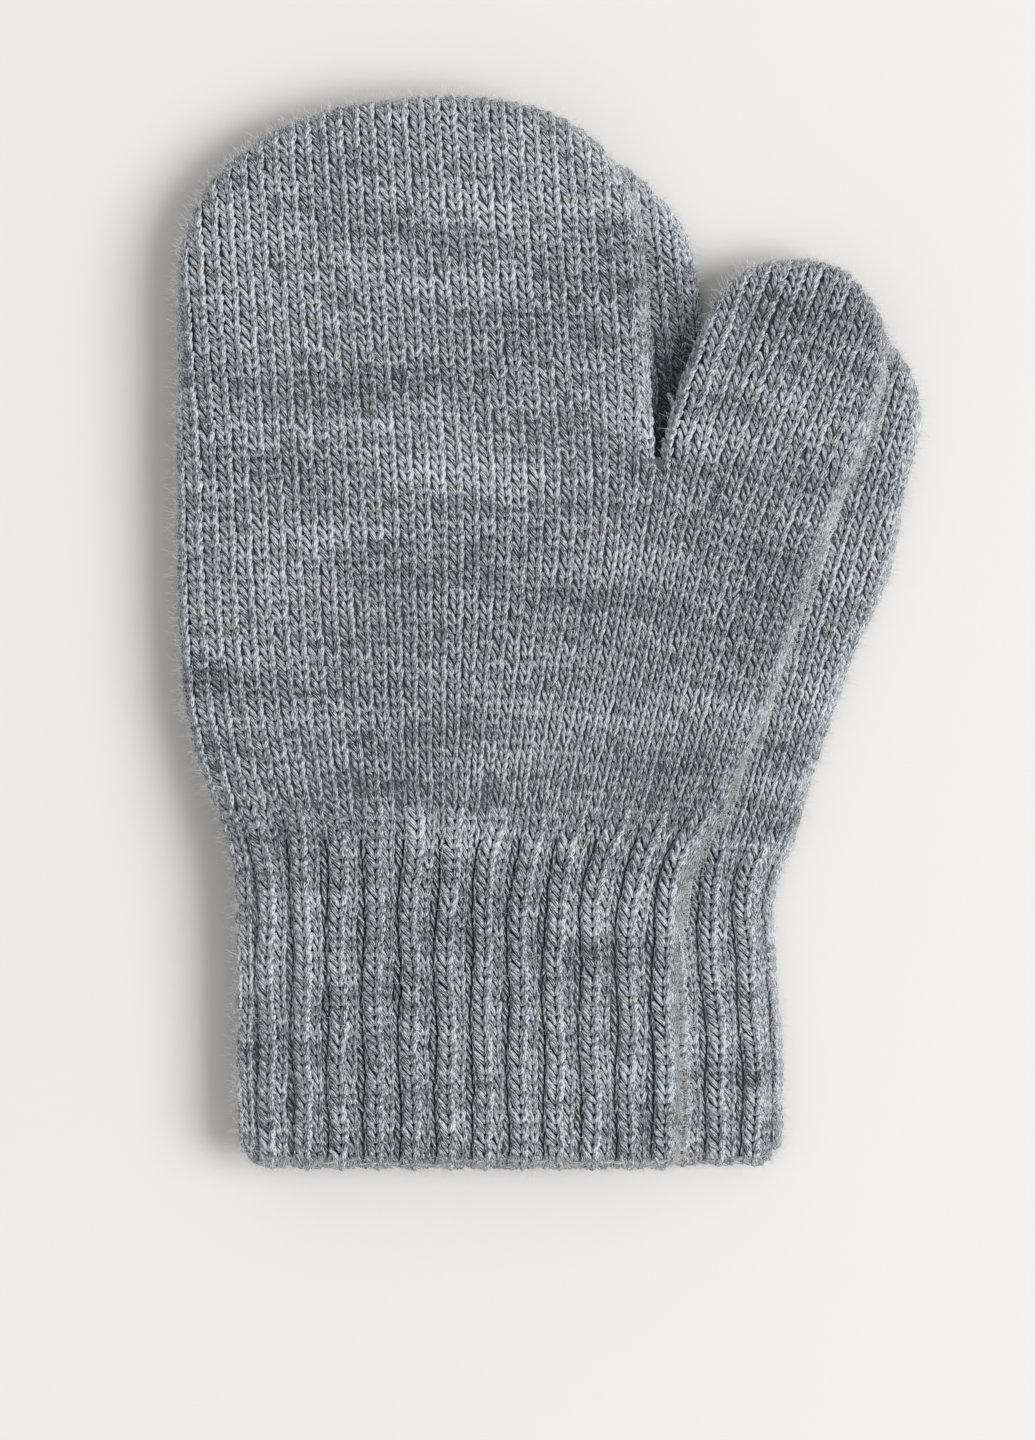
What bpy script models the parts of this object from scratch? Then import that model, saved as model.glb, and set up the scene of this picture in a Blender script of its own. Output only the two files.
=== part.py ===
"""A pair of seamless knitted mittens lying flat, one on the other.

Each mitten is four flat tubes of knit: a ribbed cuff, a palm, a finger pouch and a thumb.
A tube is a loft through sections. Each section is a flattened loop: an upper layer, a fold at
each side and a lower layer, with an outer surface and an inner one a wall's thickness inside it.

Tables are in millimetres. X runs across the mittens, Y from the cuff hem to the finger tips
and Z up from the surface that they lie on. Meshes are made in metres.
"""

import math
from collections import namedtuple

import bmesh
import bpy
import numpy as np

MM = 0.001

# Cloth
KNIT_WALL = 2.1
RIB_WALL = 2.5
LAYER_GAP = 0.7
HAND_THICK = 2 * KNIT_WALL + LAYER_GAP
CUFF_THICK = 2 * RIB_WALL + LAYER_GAP
MITTEN_GAP = 0.35

# Rib of the cuffs
RIBS_ROUND = 26
POINTS_A_RIB = 3
RIB_VALLEY = 0.6

# The flattened loop of a section
FOLD_REACH = 2.9
CUFF_FOLD_POINTS = 6
HAND_FOLD_POINTS = 5
FINGER_FACE = 11
THUMB_FACE = 6
THUMB_FOLD_POINTS = 4

# Thickness along the mitten, from the thick rib to the thinner plain knit
RIB_ENDS_Y = 46.0
KNIT_BEGINS_Y = 58.0

# How the upper mitten hangs over the edge of the lower one
DROOP_DEPTH = 3.2
DROOP_REACH = 10.0

# Slow swells of the loose upper faces: height, length along X, length along Y and phase
Swell = namedtuple("Swell", "height length_x length_y phase")
UPPER_SWELLS = (
    Swell(0.26, 71.0, 58.0, 0.4),
    Swell(0.18, -38.0, 44.0, 2.1),
    Swell(0.12, 24.0, -93.0, 4.0),
)
LOWER_SWELLS = (
    Swell(0.10, 64.0, -52.0, 1.3),
    Swell(0.08, 33.0, 47.0, 5.2),
)

# A cuff's sections from hem to rib top. Rib is the share of the full rib depth.
CuffRow = namedtuple("CuffRow", "left_x left_y right_x right_y thick rib")
UPPER_CUFF = (
    CuffRow(-40.8, 0.0, 16.5, 0.0, 4.3, 0.25),
    CuffRow(-42.7, 1.9, 18.2, 1.9, 5.3, 0.60),
    CuffRow(-43.6, 4.7, 18.8, 4.7, 5.7, 1.00),
    CuffRow(-43.9, 16.1, 18.8, 16.1, 5.7, 1.00),
    CuffRow(-43.9, 33.2, 18.8, 33.2, 5.7, 1.00),
    CuffRow(-44.2, 40.9, 19.8, 40.3, 5.7, 0.95),
    CuffRow(-45.2, 46.0, 21.9, 45.3, 5.7, 0.80),
    CuffRow(-46.7, 50.6, 24.8, 49.7, 5.7, 0.45),
)
LOWER_CUFF = (
    CuffRow(-27.9, 0.0, 30.8, 0.0, 4.3, 0.25),
    CuffRow(-28.9, 1.9, 32.2, 1.9, 5.3, 0.60),
    CuffRow(-29.4, 4.7, 32.9, 4.7, 5.7, 1.00),
    CuffRow(-29.5, 16.1, 32.9, 16.1, 5.7, 1.00),
    CuffRow(-30.2, 27.5, 32.1, 27.5, 5.7, 1.00),
    CuffRow(-30.9, 36.1, 31.6, 35.3, 5.7, 0.95),
    CuffRow(-32.2, 40.9, 32.3, 40.3, 5.7, 0.80),
    CuffRow(-34.5, 46.0, 34.5, 45.3, 5.7, 0.45),
)

# A palm's sections bend at the wale that leads up to the crotch of the thumb.
PalmRow = namedtuple("PalmRow", "left_x left_y crotch_x crotch_y right_x right_y")
UPPER_PALM = (
    PalmRow(-46.7, 50.9, 8.4, 50.3, 24.8, 50.0),
    PalmRow(-49.2, 56.7, 9.0, 56.3, 27.1, 56.3),
    PalmRow(-51.0, 63.8, 9.8, 63.4, 30.2, 62.8),
    PalmRow(-52.0, 72.4, 11.3, 71.4, 32.9, 70.5),
    PalmRow(-52.4, 83.1, 12.8, 81.4, 35.8, 79.4),
    PalmRow(-52.4, 93.8, 14.2, 90.9, 38.0, 85.6),
    PalmRow(-52.3, 103.0, 15.4, 99.9, 40.0, 91.1),
)
LOWER_PALM = (
    PalmRow(-34.5, 46.3, 19.5, 45.9, 34.5, 45.6),
    PalmRow(-37.3, 51.7, 19.9, 51.3, 36.3, 51.7),
    PalmRow(-39.6, 58.6, 20.5, 57.7, 38.5, 58.6),
    PalmRow(-40.9, 67.4, 21.4, 65.7, 41.0, 65.7),
    PalmRow(-41.9, 77.4, 22.4, 75.2, 43.9, 73.8),
    PalmRow(-42.7, 88.1, 23.2, 84.1, 46.3, 79.2),
    PalmRow(-43.5, 97.3, 23.8, 92.5, 48.4, 84.5),
)

# The closed tubes' sections, from their open end to the tip
TipRow = namedtuple("TipRow", "left_x left_y right_x right_y thick")
UPPER_FINGERS = (
    TipRow(-52.3, 103.3, 15.0, 100.2, 4.9),
    TipRow(-51.9, 112.7, 14.2, 110.2, 4.9),
    TipRow(-52.2, 121.6, 13.8, 119.4, 4.9),
    TipRow(-51.9, 129.0, 13.5, 127.5, 4.9),
    TipRow(-49.9, 135.5, 12.7, 134.4, 4.9),
    TipRow(-46.6, 140.1, 10.5, 138.9, 4.9),
    TipRow(-42.2, 143.9, 7.7, 143.2, 4.9),
    TipRow(-36.5, 147.2, 3.8, 146.8, 4.8),
    TipRow(-28.9, 149.5, -1.4, 149.2, 4.2),
    TipRow(-21.1, 150.6, -7.4, 150.5, 2.8),
    TipRow(-16.5, 151.0, -12.0, 151.0, 1.4),
)
LOWER_FINGERS = (
    TipRow(-43.5, 97.6, 23.4, 92.9, 4.9),
    TipRow(-43.9, 105.9, 22.5, 103.0, 4.9),
    TipRow(-44.3, 113.7, 22.1, 112.3, 4.9),
    TipRow(-44.5, 122.3, 21.7, 121.6, 4.9),
    TipRow(-43.0, 129.4, 20.5, 129.1, 4.9),
    TipRow(-40.0, 134.5, 18.4, 133.7, 4.9),
    TipRow(-35.1, 138.7, 15.2, 137.7, 4.9),
    TipRow(-29.4, 141.9, 11.4, 141.2, 4.8),
    TipRow(-22.2, 144.2, 6.0, 143.6, 4.2),
    TipRow(-14.0, 145.3, 0.0, 145.1, 2.8),
    TipRow(-9.4, 145.8, -4.8, 145.6, 1.4),
)
UPPER_THUMB = (
    TipRow(15.8, 100.1, 40.1, 91.4, 4.9),
    TipRow(18.1, 109.0, 44.6, 101.9, 4.9),
    TipRow(19.9, 114.1, 46.9, 109.9, 4.9),
    TipRow(22.1, 118.7, 47.5, 116.6, 4.9),
    TipRow(24.4, 123.0, 46.0, 121.3, 4.8),
    TipRow(26.9, 125.7, 43.6, 124.7, 4.6),
    TipRow(30.5, 127.5, 40.5, 127.1, 3.6),
    TipRow(33.6, 128.2, 37.0, 128.1, 1.6),
)
LOWER_THUMB = (
    TipRow(24.2, 92.7, 48.5, 84.8, 4.9),
    TipRow(26.9, 100.9, 50.6, 95.9, 4.9),
    TipRow(28.8, 106.2, 52.3, 103.0, 4.9),
    TipRow(30.5, 110.4, 52.6, 108.0, 4.9),
    TipRow(32.5, 114.1, 51.3, 112.4, 4.8),
    TipRow(34.9, 116.7, 49.3, 115.9, 4.6),
    TipRow(38.5, 118.4, 46.7, 118.0, 3.6),
    TipRow(41.3, 119.0, 44.5, 118.8, 1.6),
)

Mitten = namedtuple("Mitten", "name cuff palm fingers thumb swells tint")
UPPER = Mitten(
    "upper", UPPER_CUFF, UPPER_PALM, UPPER_FINGERS, UPPER_THUMB, UPPER_SWELLS, (0.215, 0.230, 0.250)
)
LOWER = Mitten(
    "lower", LOWER_CUFF, LOWER_PALM, LOWER_FINGERS, LOWER_THUMB, LOWER_SWELLS, (0.205, 0.218, 0.236)
)
WOOL_ROUGHNESS = 0.95
SMOOTH_ANGLE = math.radians(50)
COLLECTION_NAME = "knitted_mittens"


def smooth_step(share):
    """Eases from 0 to 1."""
    share = np.clip(share, 0.0, 1.0)
    return share * share * (3.0 - 2.0 * share)


def full_thickness(y):
    """Thickness of a mitten at a distance from the hem."""
    ease = smooth_step((y - RIB_ENDS_Y) / (KNIT_BEGINS_Y - RIB_ENDS_Y))
    return CUFF_THICK + (HAND_THICK - CUFF_THICK) * ease


def outline_of(mitten):
    """The mitten's outline seen from above, as a closed line of corners."""
    left = [(row.left_x, row.left_y) for row in mitten.cuff + mitten.palm + mitten.fingers]
    fingers_right = [(row.right_x, row.right_y) for row in reversed(mitten.fingers)]
    thumb_left = [(row.left_x, row.left_y) for row in mitten.thumb]
    right = [(row.right_x, row.right_y) for row in reversed(mitten.cuff + mitten.palm + mitten.thumb)]
    return np.array(left + fingers_right + thumb_left + right)


def distance_outside(outline, x, y):
    """How far each point lies outside a closed outline, and 0 inside it."""
    points = np.stack([x, y], axis=-1)[..., None, :]
    start = outline
    end = np.roll(outline, -1, axis=0)
    edge = end - start
    share = ((points - start) * edge).sum(-1) / np.maximum((edge * edge).sum(-1), 1e-9)
    nearest = start + np.clip(share, 0.0, 1.0)[..., None] * edge
    distance = np.linalg.norm(points - nearest, axis=-1).min(-1)
    rises = (start[:, 1] > y[..., None]) != (end[:, 1] > y[..., None])
    slope = edge[:, 0] / np.where(np.abs(edge[:, 1]) < 1e-9, 1e-9, edge[:, 1])
    crossing = start[:, 0] + (y[..., None] - start[:, 1]) * slope
    inside = (rises & (x[..., None] < crossing)).sum(-1) % 2 == 1
    return np.where(inside, 0.0, distance)


def seat_height(mitten, x, y):
    """Height of what the mitten lies on: the floor, or the lower mitten and past its edge."""
    if mitten is LOWER:
        return np.zeros_like(x)
    past_edge = distance_outside(outline_of(LOWER), x, y)
    droop = DROOP_DEPTH * (1.0 - np.exp(-((past_edge / DROOP_REACH) ** 2)))
    return full_thickness(y) + MITTEN_GAP - droop


def swell_height(mitten, x, y):
    """The slow rise and fall of the mitten's loose upper face."""
    height = np.zeros_like(x)
    for swell in mitten.swells:
        turn = x / swell.length_x + y / swell.length_y
        height = height + swell.height * (np.sin(2 * math.pi * turn + swell.phase) - 1.0) / 2
    return height


def eased_rows(rows, count):
    """Rows read off a smooth curve through the table's rows, evenly by row."""
    table = np.array(rows)
    last = len(table) - 1
    found = []
    for place in np.linspace(0, last, count):
        k = min(int(place), last - 1)
        t = place - k
        before = table[k - 1] if k > 0 else 2 * table[k] - table[k + 1]
        after = table[k + 2] if k + 2 <= last else 2 * table[k + 1] - table[k]
        a, b = table[k], table[k + 1]
        bend = 2 * before - 5 * a + 4 * b - after
        twist = 3 * (a - b) + after - before
        found.append(a + t / 2 * ((b - before) + t * (bend + t * twist)))
    return np.array(found)


def loop_points(width, half, fold, stations, fold_points):
    """A flattened loop as distances along the section, heights, and its outward directions.

    It runs along the upper layer from the left, round the right fold, back and round the left one.
    """
    fold = min(fold, 0.45 * width)
    face = fold + (width - 2 * fold) * stations
    turns = math.pi * np.arange(1, fold_points) / fold_points
    along = [face, width - fold + fold * np.sin(turns), face[::-1], fold - fold * np.sin(turns)]
    high = [np.full_like(face, half), half * np.cos(turns), np.full_like(face, -half)]
    high.append(-half * np.cos(turns))
    out_along = [np.zeros_like(face), np.sin(turns), np.zeros_like(face), -np.sin(turns)]
    out_high = [np.ones_like(face), np.cos(turns), -np.ones_like(face), -np.cos(turns)]
    return tuple(np.concatenate(part) for part in (along, high, out_along, out_high))


def on_line(corners, along):
    """Points at distances along a line of corners, which runs straight on past its ends."""
    corners = np.array(corners)
    steps = np.diff(corners, axis=0)
    lengths = np.linalg.norm(steps, axis=1)
    starts = np.concatenate([[0.0], np.cumsum(lengths)[:-1]])
    piece = np.clip(np.searchsorted(starts, along, side="right") - 1, 0, len(steps) - 1)
    share = (along - starts[piece]) / lengths[piece]
    return corners[piece] + share[:, None] * steps[piece]


def line_length(corners):
    return np.linalg.norm(np.diff(np.array(corners), axis=0), axis=1).sum()


def section(corners, thick, wall, stations, fold_points, valley=0.0):
    """One section's outer and inner loops, as X, Y and height about the section's middle."""
    width = line_length(corners)
    along, high, out_along, out_high = loop_points(width, thick / 2, FOLD_REACH, stations, fold_points)
    outer_along = along - valley * out_along
    outer_high = high - valley * out_high
    outer = np.column_stack([on_line(corners, outer_along), outer_high])
    narrow = width - 2 * wall
    slot = LAYER_GAP / 2 * min(1.0, thick / HAND_THICK)
    inner_fold = max(FOLD_REACH - wall, slot)
    along, high, _, _ = loop_points(narrow, slot, inner_fold, stations, fold_points)
    inner = np.column_stack([on_line(corners, along + wall), high])
    return outer, inner


def settled(mitten, loops, thick):
    """Lays loops of a full thickness on what the mitten rests on, with swells in their upper halves."""
    x, y = loops[..., 0], loops[..., 1]
    share = loops[..., 2] / thick + 0.5
    z = seat_height(mitten, x, y) + full_thickness(y) * share
    z = z + smooth_step(share) * swell_height(mitten, x, y)
    return np.stack([x, y, z], axis=-1)


def tube_mesh(name, outer, inner, closed_tip):
    """Closed mesh of a walled tube from its outer and inner loops."""
    rings, around = outer.shape[:2]
    mesh = bmesh.new()
    shell = []
    for loops in (outer, inner):
        shell.append([[mesh.verts.new(point * MM) for point in loop] for loop in loops])
    skin, lining = shell
    for k in range(rings - 1):
        for i in range(around):
            j = (i + 1) % around
            mesh.faces.new((skin[k][i], skin[k][j], skin[k + 1][j], skin[k + 1][i]))
            mesh.faces.new((lining[k][i], lining[k + 1][i], lining[k + 1][j], lining[k][j]))
    for i in range(around):
        j = (i + 1) % around
        mesh.faces.new((skin[0][i], lining[0][i], lining[0][j], skin[0][j]))
        if not closed_tip:
            mesh.faces.new((skin[-1][i], skin[-1][j], lining[-1][j], lining[-1][i]))
    if closed_tip:
        mesh.faces.new(skin[-1])
        mesh.faces.new(lining[-1][::-1])
    bmesh.ops.triangulate(mesh, faces=mesh.faces[:])
    data = bpy.data.meshes.new(name)
    mesh.to_mesh(data)
    mesh.free()
    return data


def wool_material(name, tint):
    """Plain dull wool in one colour."""
    material = bpy.data.materials.new(name)
    material.use_nodes = True
    shader = material.node_tree.nodes["Principled BSDF"]
    shader.inputs["Base Color"].default_value = (*tint, 1.0)
    shader.inputs["Roughness"].default_value = WOOL_ROUGHNESS
    shader.inputs["Metallic"].default_value = 0.0
    return material


def rib_valleys(around):
    """Depth of the rib at each point round the cuff: a valley beside each two-wale ridge."""
    pattern = np.zeros(POINTS_A_RIB)
    pattern[0] = RIB_VALLEY
    return np.tile(pattern, around // POINTS_A_RIB)


def cuff_loops(mitten):
    """Sections of the ribbed cuff. The lower cuff's underside lies flat, so its ribs are pressed out."""
    around = RIBS_ROUND * POINTS_A_RIB
    face_points = (around - 2 * (CUFF_FOLD_POINTS - 1)) // 2
    stations = np.linspace(0.0, 1.0, face_points)
    valleys = rib_valleys(around)
    if mitten is LOWER:
        valleys[face_points + CUFF_FOLD_POINTS - 1 : 2 * face_points + CUFF_FOLD_POINTS - 1] = 0.0
    outer, inner = [], []
    for values in mitten.cuff:
        corners = [(values.left_x, values.left_y), (values.right_x, values.right_y)]
        loops = section(
            corners, values.thick, RIB_WALL, stations, CUFF_FOLD_POINTS, valleys * values.rib
        )
        outer.append(loops[0])
        inner.append(loops[1])
    return np.array(outer), np.array(inner)


def palm_loops(mitten):
    """Sections of the palm, which bend at the crotch so that the last one meets both pouches."""
    outer, inner = [], []
    for values in eased_rows(mitten.palm, len(mitten.palm)):
        row = PalmRow(*values)
        corners = [(row.left_x, row.left_y), (row.crotch_x, row.crotch_y), (row.right_x, row.right_y)]
        width = line_length(corners)
        crotch = (line_length(corners[:2]) - FOLD_REACH) / (width - 2 * FOLD_REACH)
        left_part = np.linspace(0.0, crotch, FINGER_FACE)
        right_part = np.linspace(crotch, 1.0, THUMB_FACE)[1:]
        stations = np.concatenate([left_part, right_part])
        loops = section(corners, HAND_THICK, KNIT_WALL, stations, HAND_FOLD_POINTS)
        outer.append(loops[0])
        inner.append(loops[1])
    return np.array(outer), np.array(inner)


def pouch_loops(rows, face_points, fold_points):
    """Sections of a tube closed at its tip. The inner loops shrink towards the open end's middle."""
    stations = np.linspace(0.0, 1.0, face_points)
    widest = max(line_length([(r.left_x, r.left_y), (r.right_x, r.right_y)]) for r in rows)
    base_left = np.array([rows[0].left_x, rows[0].left_y])
    base_right = np.array([rows[0].right_x, rows[0].right_y])
    tip = np.array([rows[-1].left_x + rows[-1].right_x, rows[-1].left_y + rows[-1].right_y]) / 2
    depth = np.linalg.norm(tip - (base_left + base_right) / 2)
    narrower = 1.0 - 2 * KNIT_WALL / widest
    shorter = 1.0 - KNIT_WALL / depth
    outer, inner = [], []
    for row in rows:
        left = np.array([row.left_x, row.left_y])
        right = np.array([row.right_x, row.right_y])
        outer.append(section([left, right], row.thick, KNIT_WALL, stations, fold_points)[0])
        middle = (left + right) / 2
        left = middle + (left - middle) * narrower
        right = middle + (right - middle) * narrower
        left = base_left + (left - base_left) * shorter
        right = base_right + (right - base_right) * shorter
        width = np.linalg.norm(right - left)
        slot = LAYER_GAP / 2 * row.thick / HAND_THICK
        fold = max(FOLD_REACH - KNIT_WALL, slot)
        along, high, _, _ = loop_points(width, slot, fold, stations, fold_points)
        inner.append(np.column_stack([on_line([left, right], along), high]))
    return np.array(outer), np.array(inner)


def mitten_loops(mitten):
    """Every tube of one mitten: its name, settled outer and inner loops, and if its tip is closed."""
    fingers = pouch_loops(mitten.fingers, FINGER_FACE, HAND_FOLD_POINTS)
    thumb = pouch_loops(mitten.thumb, THUMB_FACE, THUMB_FOLD_POINTS)
    tubes = (
        ("cuff", cuff_loops(mitten), CUFF_THICK, False),
        ("palm", palm_loops(mitten), HAND_THICK, False),
        ("fingers", fingers, HAND_THICK, True),
        ("thumb", thumb, HAND_THICK, True),
    )
    for part, (outer, inner), thick, closed in tubes:
        name = f"{mitten.name}_{part}"
        yield name, settled(mitten, outer, thick), settled(mitten, inner, thick), closed


def footprint_middle(tubes):
    """Middle of the pair's box seen from above, with its lowest height."""
    points = np.concatenate([outer.reshape(-1, 3) for _, outer, _, _ in tubes])
    low, high = points.min(axis=0), points.max(axis=0)
    return np.array([(low[0] + high[0]) / 2, (low[1] + high[1]) / 2, low[2]])


def add_tube(name, outer, inner, closed, tint, collection):
    """Adds one tube of knit as an object with its own wool."""
    data = tube_mesh(name, outer, inner, closed)
    data.materials.append(wool_material(f"{name}_wool", tint))
    data.shade_smooth()
    data.set_sharp_from_angle(angle=SMOOTH_ANGLE)
    collection.objects.link(bpy.data.objects.new(name, data))


def clear_scene():
    for item in list(bpy.data.objects):
        bpy.data.objects.remove(item, do_unlink=True)


def build_pair():
    """Builds both mittens about the middle of their footprint."""
    collection = bpy.data.collections.new(COLLECTION_NAME)
    bpy.context.scene.collection.children.link(collection)
    tubes = {mitten: list(mitten_loops(mitten)) for mitten in (LOWER, UPPER)}
    middle = footprint_middle([tube for found in tubes.values() for tube in found])
    for mitten, found in tubes.items():
        for name, outer, inner, closed in found:
            add_tube(name, outer - middle, inner - middle, closed, mitten.tint, collection)


clear_scene()
build_pair()
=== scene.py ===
"""Dresses a pair of knitted mittens that lie flat, one on the other, in marled grey wool.

Every stitch is a pair of yarn legs that Geometry Nodes set on the mittens' rounded surface.
Sizes are in millimetres, with X across the pair from its middle, Y from the cuffs' hems to the
finger tips and Z up from the floor. Meshes are made in metres, in the frame's place.
"""

from __future__ import annotations

import logging
import math
from collections.abc import Mapping, Sequence
from dataclasses import dataclass, field
from enum import Enum
from typing import Any

import bmesh
import bpy
import numpy as np
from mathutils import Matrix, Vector
from mathutils.bvhtree import BVHTree


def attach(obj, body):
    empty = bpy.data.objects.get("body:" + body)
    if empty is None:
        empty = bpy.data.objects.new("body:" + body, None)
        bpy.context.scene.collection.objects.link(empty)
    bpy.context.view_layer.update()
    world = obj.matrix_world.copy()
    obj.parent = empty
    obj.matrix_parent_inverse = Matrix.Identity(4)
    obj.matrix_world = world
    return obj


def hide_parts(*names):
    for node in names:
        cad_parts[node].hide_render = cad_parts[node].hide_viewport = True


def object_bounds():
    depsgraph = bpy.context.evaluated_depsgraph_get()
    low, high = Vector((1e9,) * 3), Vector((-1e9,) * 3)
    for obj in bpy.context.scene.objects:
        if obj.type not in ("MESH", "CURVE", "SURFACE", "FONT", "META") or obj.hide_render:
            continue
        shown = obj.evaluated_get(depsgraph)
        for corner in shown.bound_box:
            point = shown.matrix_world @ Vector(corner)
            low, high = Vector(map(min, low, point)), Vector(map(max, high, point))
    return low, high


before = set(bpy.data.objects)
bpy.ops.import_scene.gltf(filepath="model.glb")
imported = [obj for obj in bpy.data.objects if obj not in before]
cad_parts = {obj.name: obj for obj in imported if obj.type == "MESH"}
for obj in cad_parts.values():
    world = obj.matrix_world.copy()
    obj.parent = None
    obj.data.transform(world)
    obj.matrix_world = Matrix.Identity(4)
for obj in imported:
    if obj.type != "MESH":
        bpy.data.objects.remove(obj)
CAD_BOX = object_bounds()

LOG = logging.getLogger("mittens")
MM = 0.001
TINY = 1e-9
BODY = "root"
FLOOR = "studio_floor"

# Wall of the cloth, as in the solids
KNIT_WALL = 2.1
RIB_WALL = 2.5
LAYER_GAP = 0.7
HAND_THICK = 2 * KNIT_WALL + LAYER_GAP
CUFF_THICK = 2 * RIB_WALL + LAYER_GAP
MITTEN_GAP = 0.35
RIB_ENDS_Y = 46.0
KNIT_BEGINS_Y = 58.0

# Fold at each side, and how far round it the cloth may go, as a share of the way to its equator
FOLD_REACH = 2.9
FOLD_END = 1.3

# How the upper mitten hangs over the edge of the lower one
DROOP_DEPTH = 3.2
DROOP_REACH = 10.0

# Hem: its thinner edge and the roll of its last rows
HEM_TAPER = 0.7
HEM_TAPER_REACH = 4.7
HEM_TAPER_POWER = 1.7
HEM_TAPER_END = 1.2
HEM_ROLL = 1.7
HEM_ROLL_END = 1.5

# Rims of the backing shells, where one part meets the next
SEAM_REACH = 0.6
RIM_OVERLAP = 1.4
MERGE_REACH = 0.01

# Gauge of the knitting: one wale across and one course up
WALE = 2.31
THUMB_WALE = 2.1
COURSE = 1.37
PALM_COURSES = 37
CUFF_COURSES = 37
POUCH_COURSES = 42
RIBS_A_FACE = 13
CUFF_WIDTH = 62.7

# A stitch: its depth, the limits of its width and height, and the step that finds its directions
STITCH_DEPTH = 2.1
STITCH_WIDTHS = (1.45, 2.8)
STITCH_HEIGHTS = (0.9, 1.7)
NUDGE = 0.25

Array = np.ndarray
Point = tuple[float, float]
Triple = tuple[float, float, float]


def smooth_step(share: Array) -> Array:
    """Eases from 0 to 1."""
    share = np.clip(share, 0.0, 1.0)
    return share * share * (3.0 - 2.0 * share)


def full_thickness(y: Array) -> Array:
    """Thickness of a mitten at a distance from the hem."""
    ease = smooth_step((y - RIB_ENDS_Y) / (KNIT_BEGINS_Y - RIB_ENDS_Y))
    return CUFF_THICK + (HAND_THICK - CUFF_THICK) * ease


def unit(vectors: Array) -> Array:
    """Vectors at length 1."""
    return vectors / np.maximum(np.linalg.norm(vectors, axis=-1, keepdims=True), TINY)


def leaning(degrees: float) -> Array:
    """The direction that leans this far to the right of straight up."""
    return np.array([math.sin(math.radians(degrees)), math.cos(math.radians(degrees))])


class Face(Enum):
    """The two outer faces of a mitten that lies flat."""

    TOP = 1.0
    BOTTOM = -1.0


@dataclass(frozen=True)
class Swell:
    """A slow rise and fall of a loose face, in mm."""

    height: float
    length_x: float
    length_y: float
    phase: float

    def at(self, x: Array, y: Array) -> Array:
        """Height at each point, never above 0."""
        turn = x / self.length_x + y / self.length_y
        return self.height * (np.sin(2 * math.pi * turn + self.phase) - 1.0) / 2


@dataclass(frozen=True)
class Outline:
    """A mitten's edge seen from above, as two smooth runs that meet in the crotch of the thumb.

    The hand's run goes up from the left end of the hem and over the tips. The thumb's run goes on
    from the crotch and down to the right end of the hem.
    """

    hand: tuple[Point, ...]
    thumb: tuple[Point, ...]
    steps: int = 6
    below_hem: float = 25.0
    on_edge: float = 0.05
    points_at_once: int = 2000

    def run(self, corners: tuple[Point, ...]) -> Array:
        """Points along a smooth curve through one run's corners.

        Args:
            corners: The corners, in order.

        Returns:
            The curve's points, an array of X and Y.
        """
        line = np.array(corners)
        line = np.vstack([2 * line[0] - line[1], line, 2 * line[-1] - line[-2]])
        before, a, b, after = line[:-3], line[1:-2], line[2:-1], line[3:]
        found = []
        for t in np.arange(self.steps) / self.steps:
            bend = 2 * before - 5 * a + 4 * b - after
            twist = 3 * (a - b) + after - before
            found.append(a + t / 2 * ((b - before) + t * (bend + t * twist)))
        curve = np.stack(found, axis=1).reshape(-1, 2)
        return np.vstack([curve, line[-2]])

    def closed_line(self) -> Array:
        """The whole edge, carried on below the hem so that the hem isn't a fold.

        Returns:
            The edge's points, an array of X and Y.
        """
        hand, thumb = self.run(self.hand), self.run(self.thumb)
        drop = np.array([0.0, -self.below_hem])
        return np.vstack([hand, thumb[1:], thumb[-1] + drop, hand[0] + drop])

    def depth(self, points: Array) -> tuple[Array, Array]:
        """How deep each point lies inside the edge.

        Args:
            points: Points as X and Y.

        Returns:
            The depths, negative outside, and the directions inwards from the nearest edge.
        """
        line = self.closed_line()
        start, edge = line, np.roll(line, -1, axis=0) - line
        square = np.maximum((edge * edge).sum(-1), TINY)
        depths, inwards = [], []
        for group in np.array_split(points, max(1, len(points) // self.points_at_once)):
            away = group[:, None, :] - start
            share = np.clip((away * edge).sum(-1) / square, 0.0, 1.0)
            gap = away - share[..., None] * edge
            distance = np.linalg.norm(gap, axis=-1)
            nearest = distance.argmin(axis=1)
            rows = np.arange(len(group))
            y = group[:, 1:2]
            rises = (start[:, 1] > y) != ((start + edge)[:, 1] > y)
            slope = edge[:, 0] / np.where(np.abs(edge[:, 1]) < TINY, TINY, edge[:, 1])
            crossing = start[:, 0] + (y - start[:, 1]) * slope
            inside = (rises & (group[:, 0:1] < crossing)).sum(-1) % 2 == 1
            sign = np.where(inside, 1.0, -1.0)
            near = distance[rows, nearest]
            side = unit(np.column_stack([edge[nearest, 1], -edge[nearest, 0]]))
            radial = sign[:, None] * gap[rows, nearest] / np.maximum(near, TINY)[:, None]
            depths.append(sign * near)
            inwards.append(np.where((near < self.on_edge)[:, None], side, radial))
        return np.concatenate(depths), np.concatenate(inwards)

    def sides(self, y: Array) -> tuple[Array, Array]:
        """Left and right edge of the cuff.

        Args:
            y: Distances from the hem.

        Returns:
            X of the left edge and of the right edge at each distance.
        """
        hand, thumb = self.run(self.hand), self.run(self.thumb)
        left, right = hand[hand[:, 1] < KNIT_BEGINS_Y], thumb[thumb[:, 1] < KNIT_BEGINS_Y][::-1]
        left = left[: int(left[:, 1].argmax()) + 1]
        return np.interp(y, left[:, 1], left[:, 0]), np.interp(y, right[:, 1], right[:, 0])

    def hem_ends(self) -> Point:
        """X of the left and right end of the hem."""
        return self.hand[0][0], self.thumb[-1][0]


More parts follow.
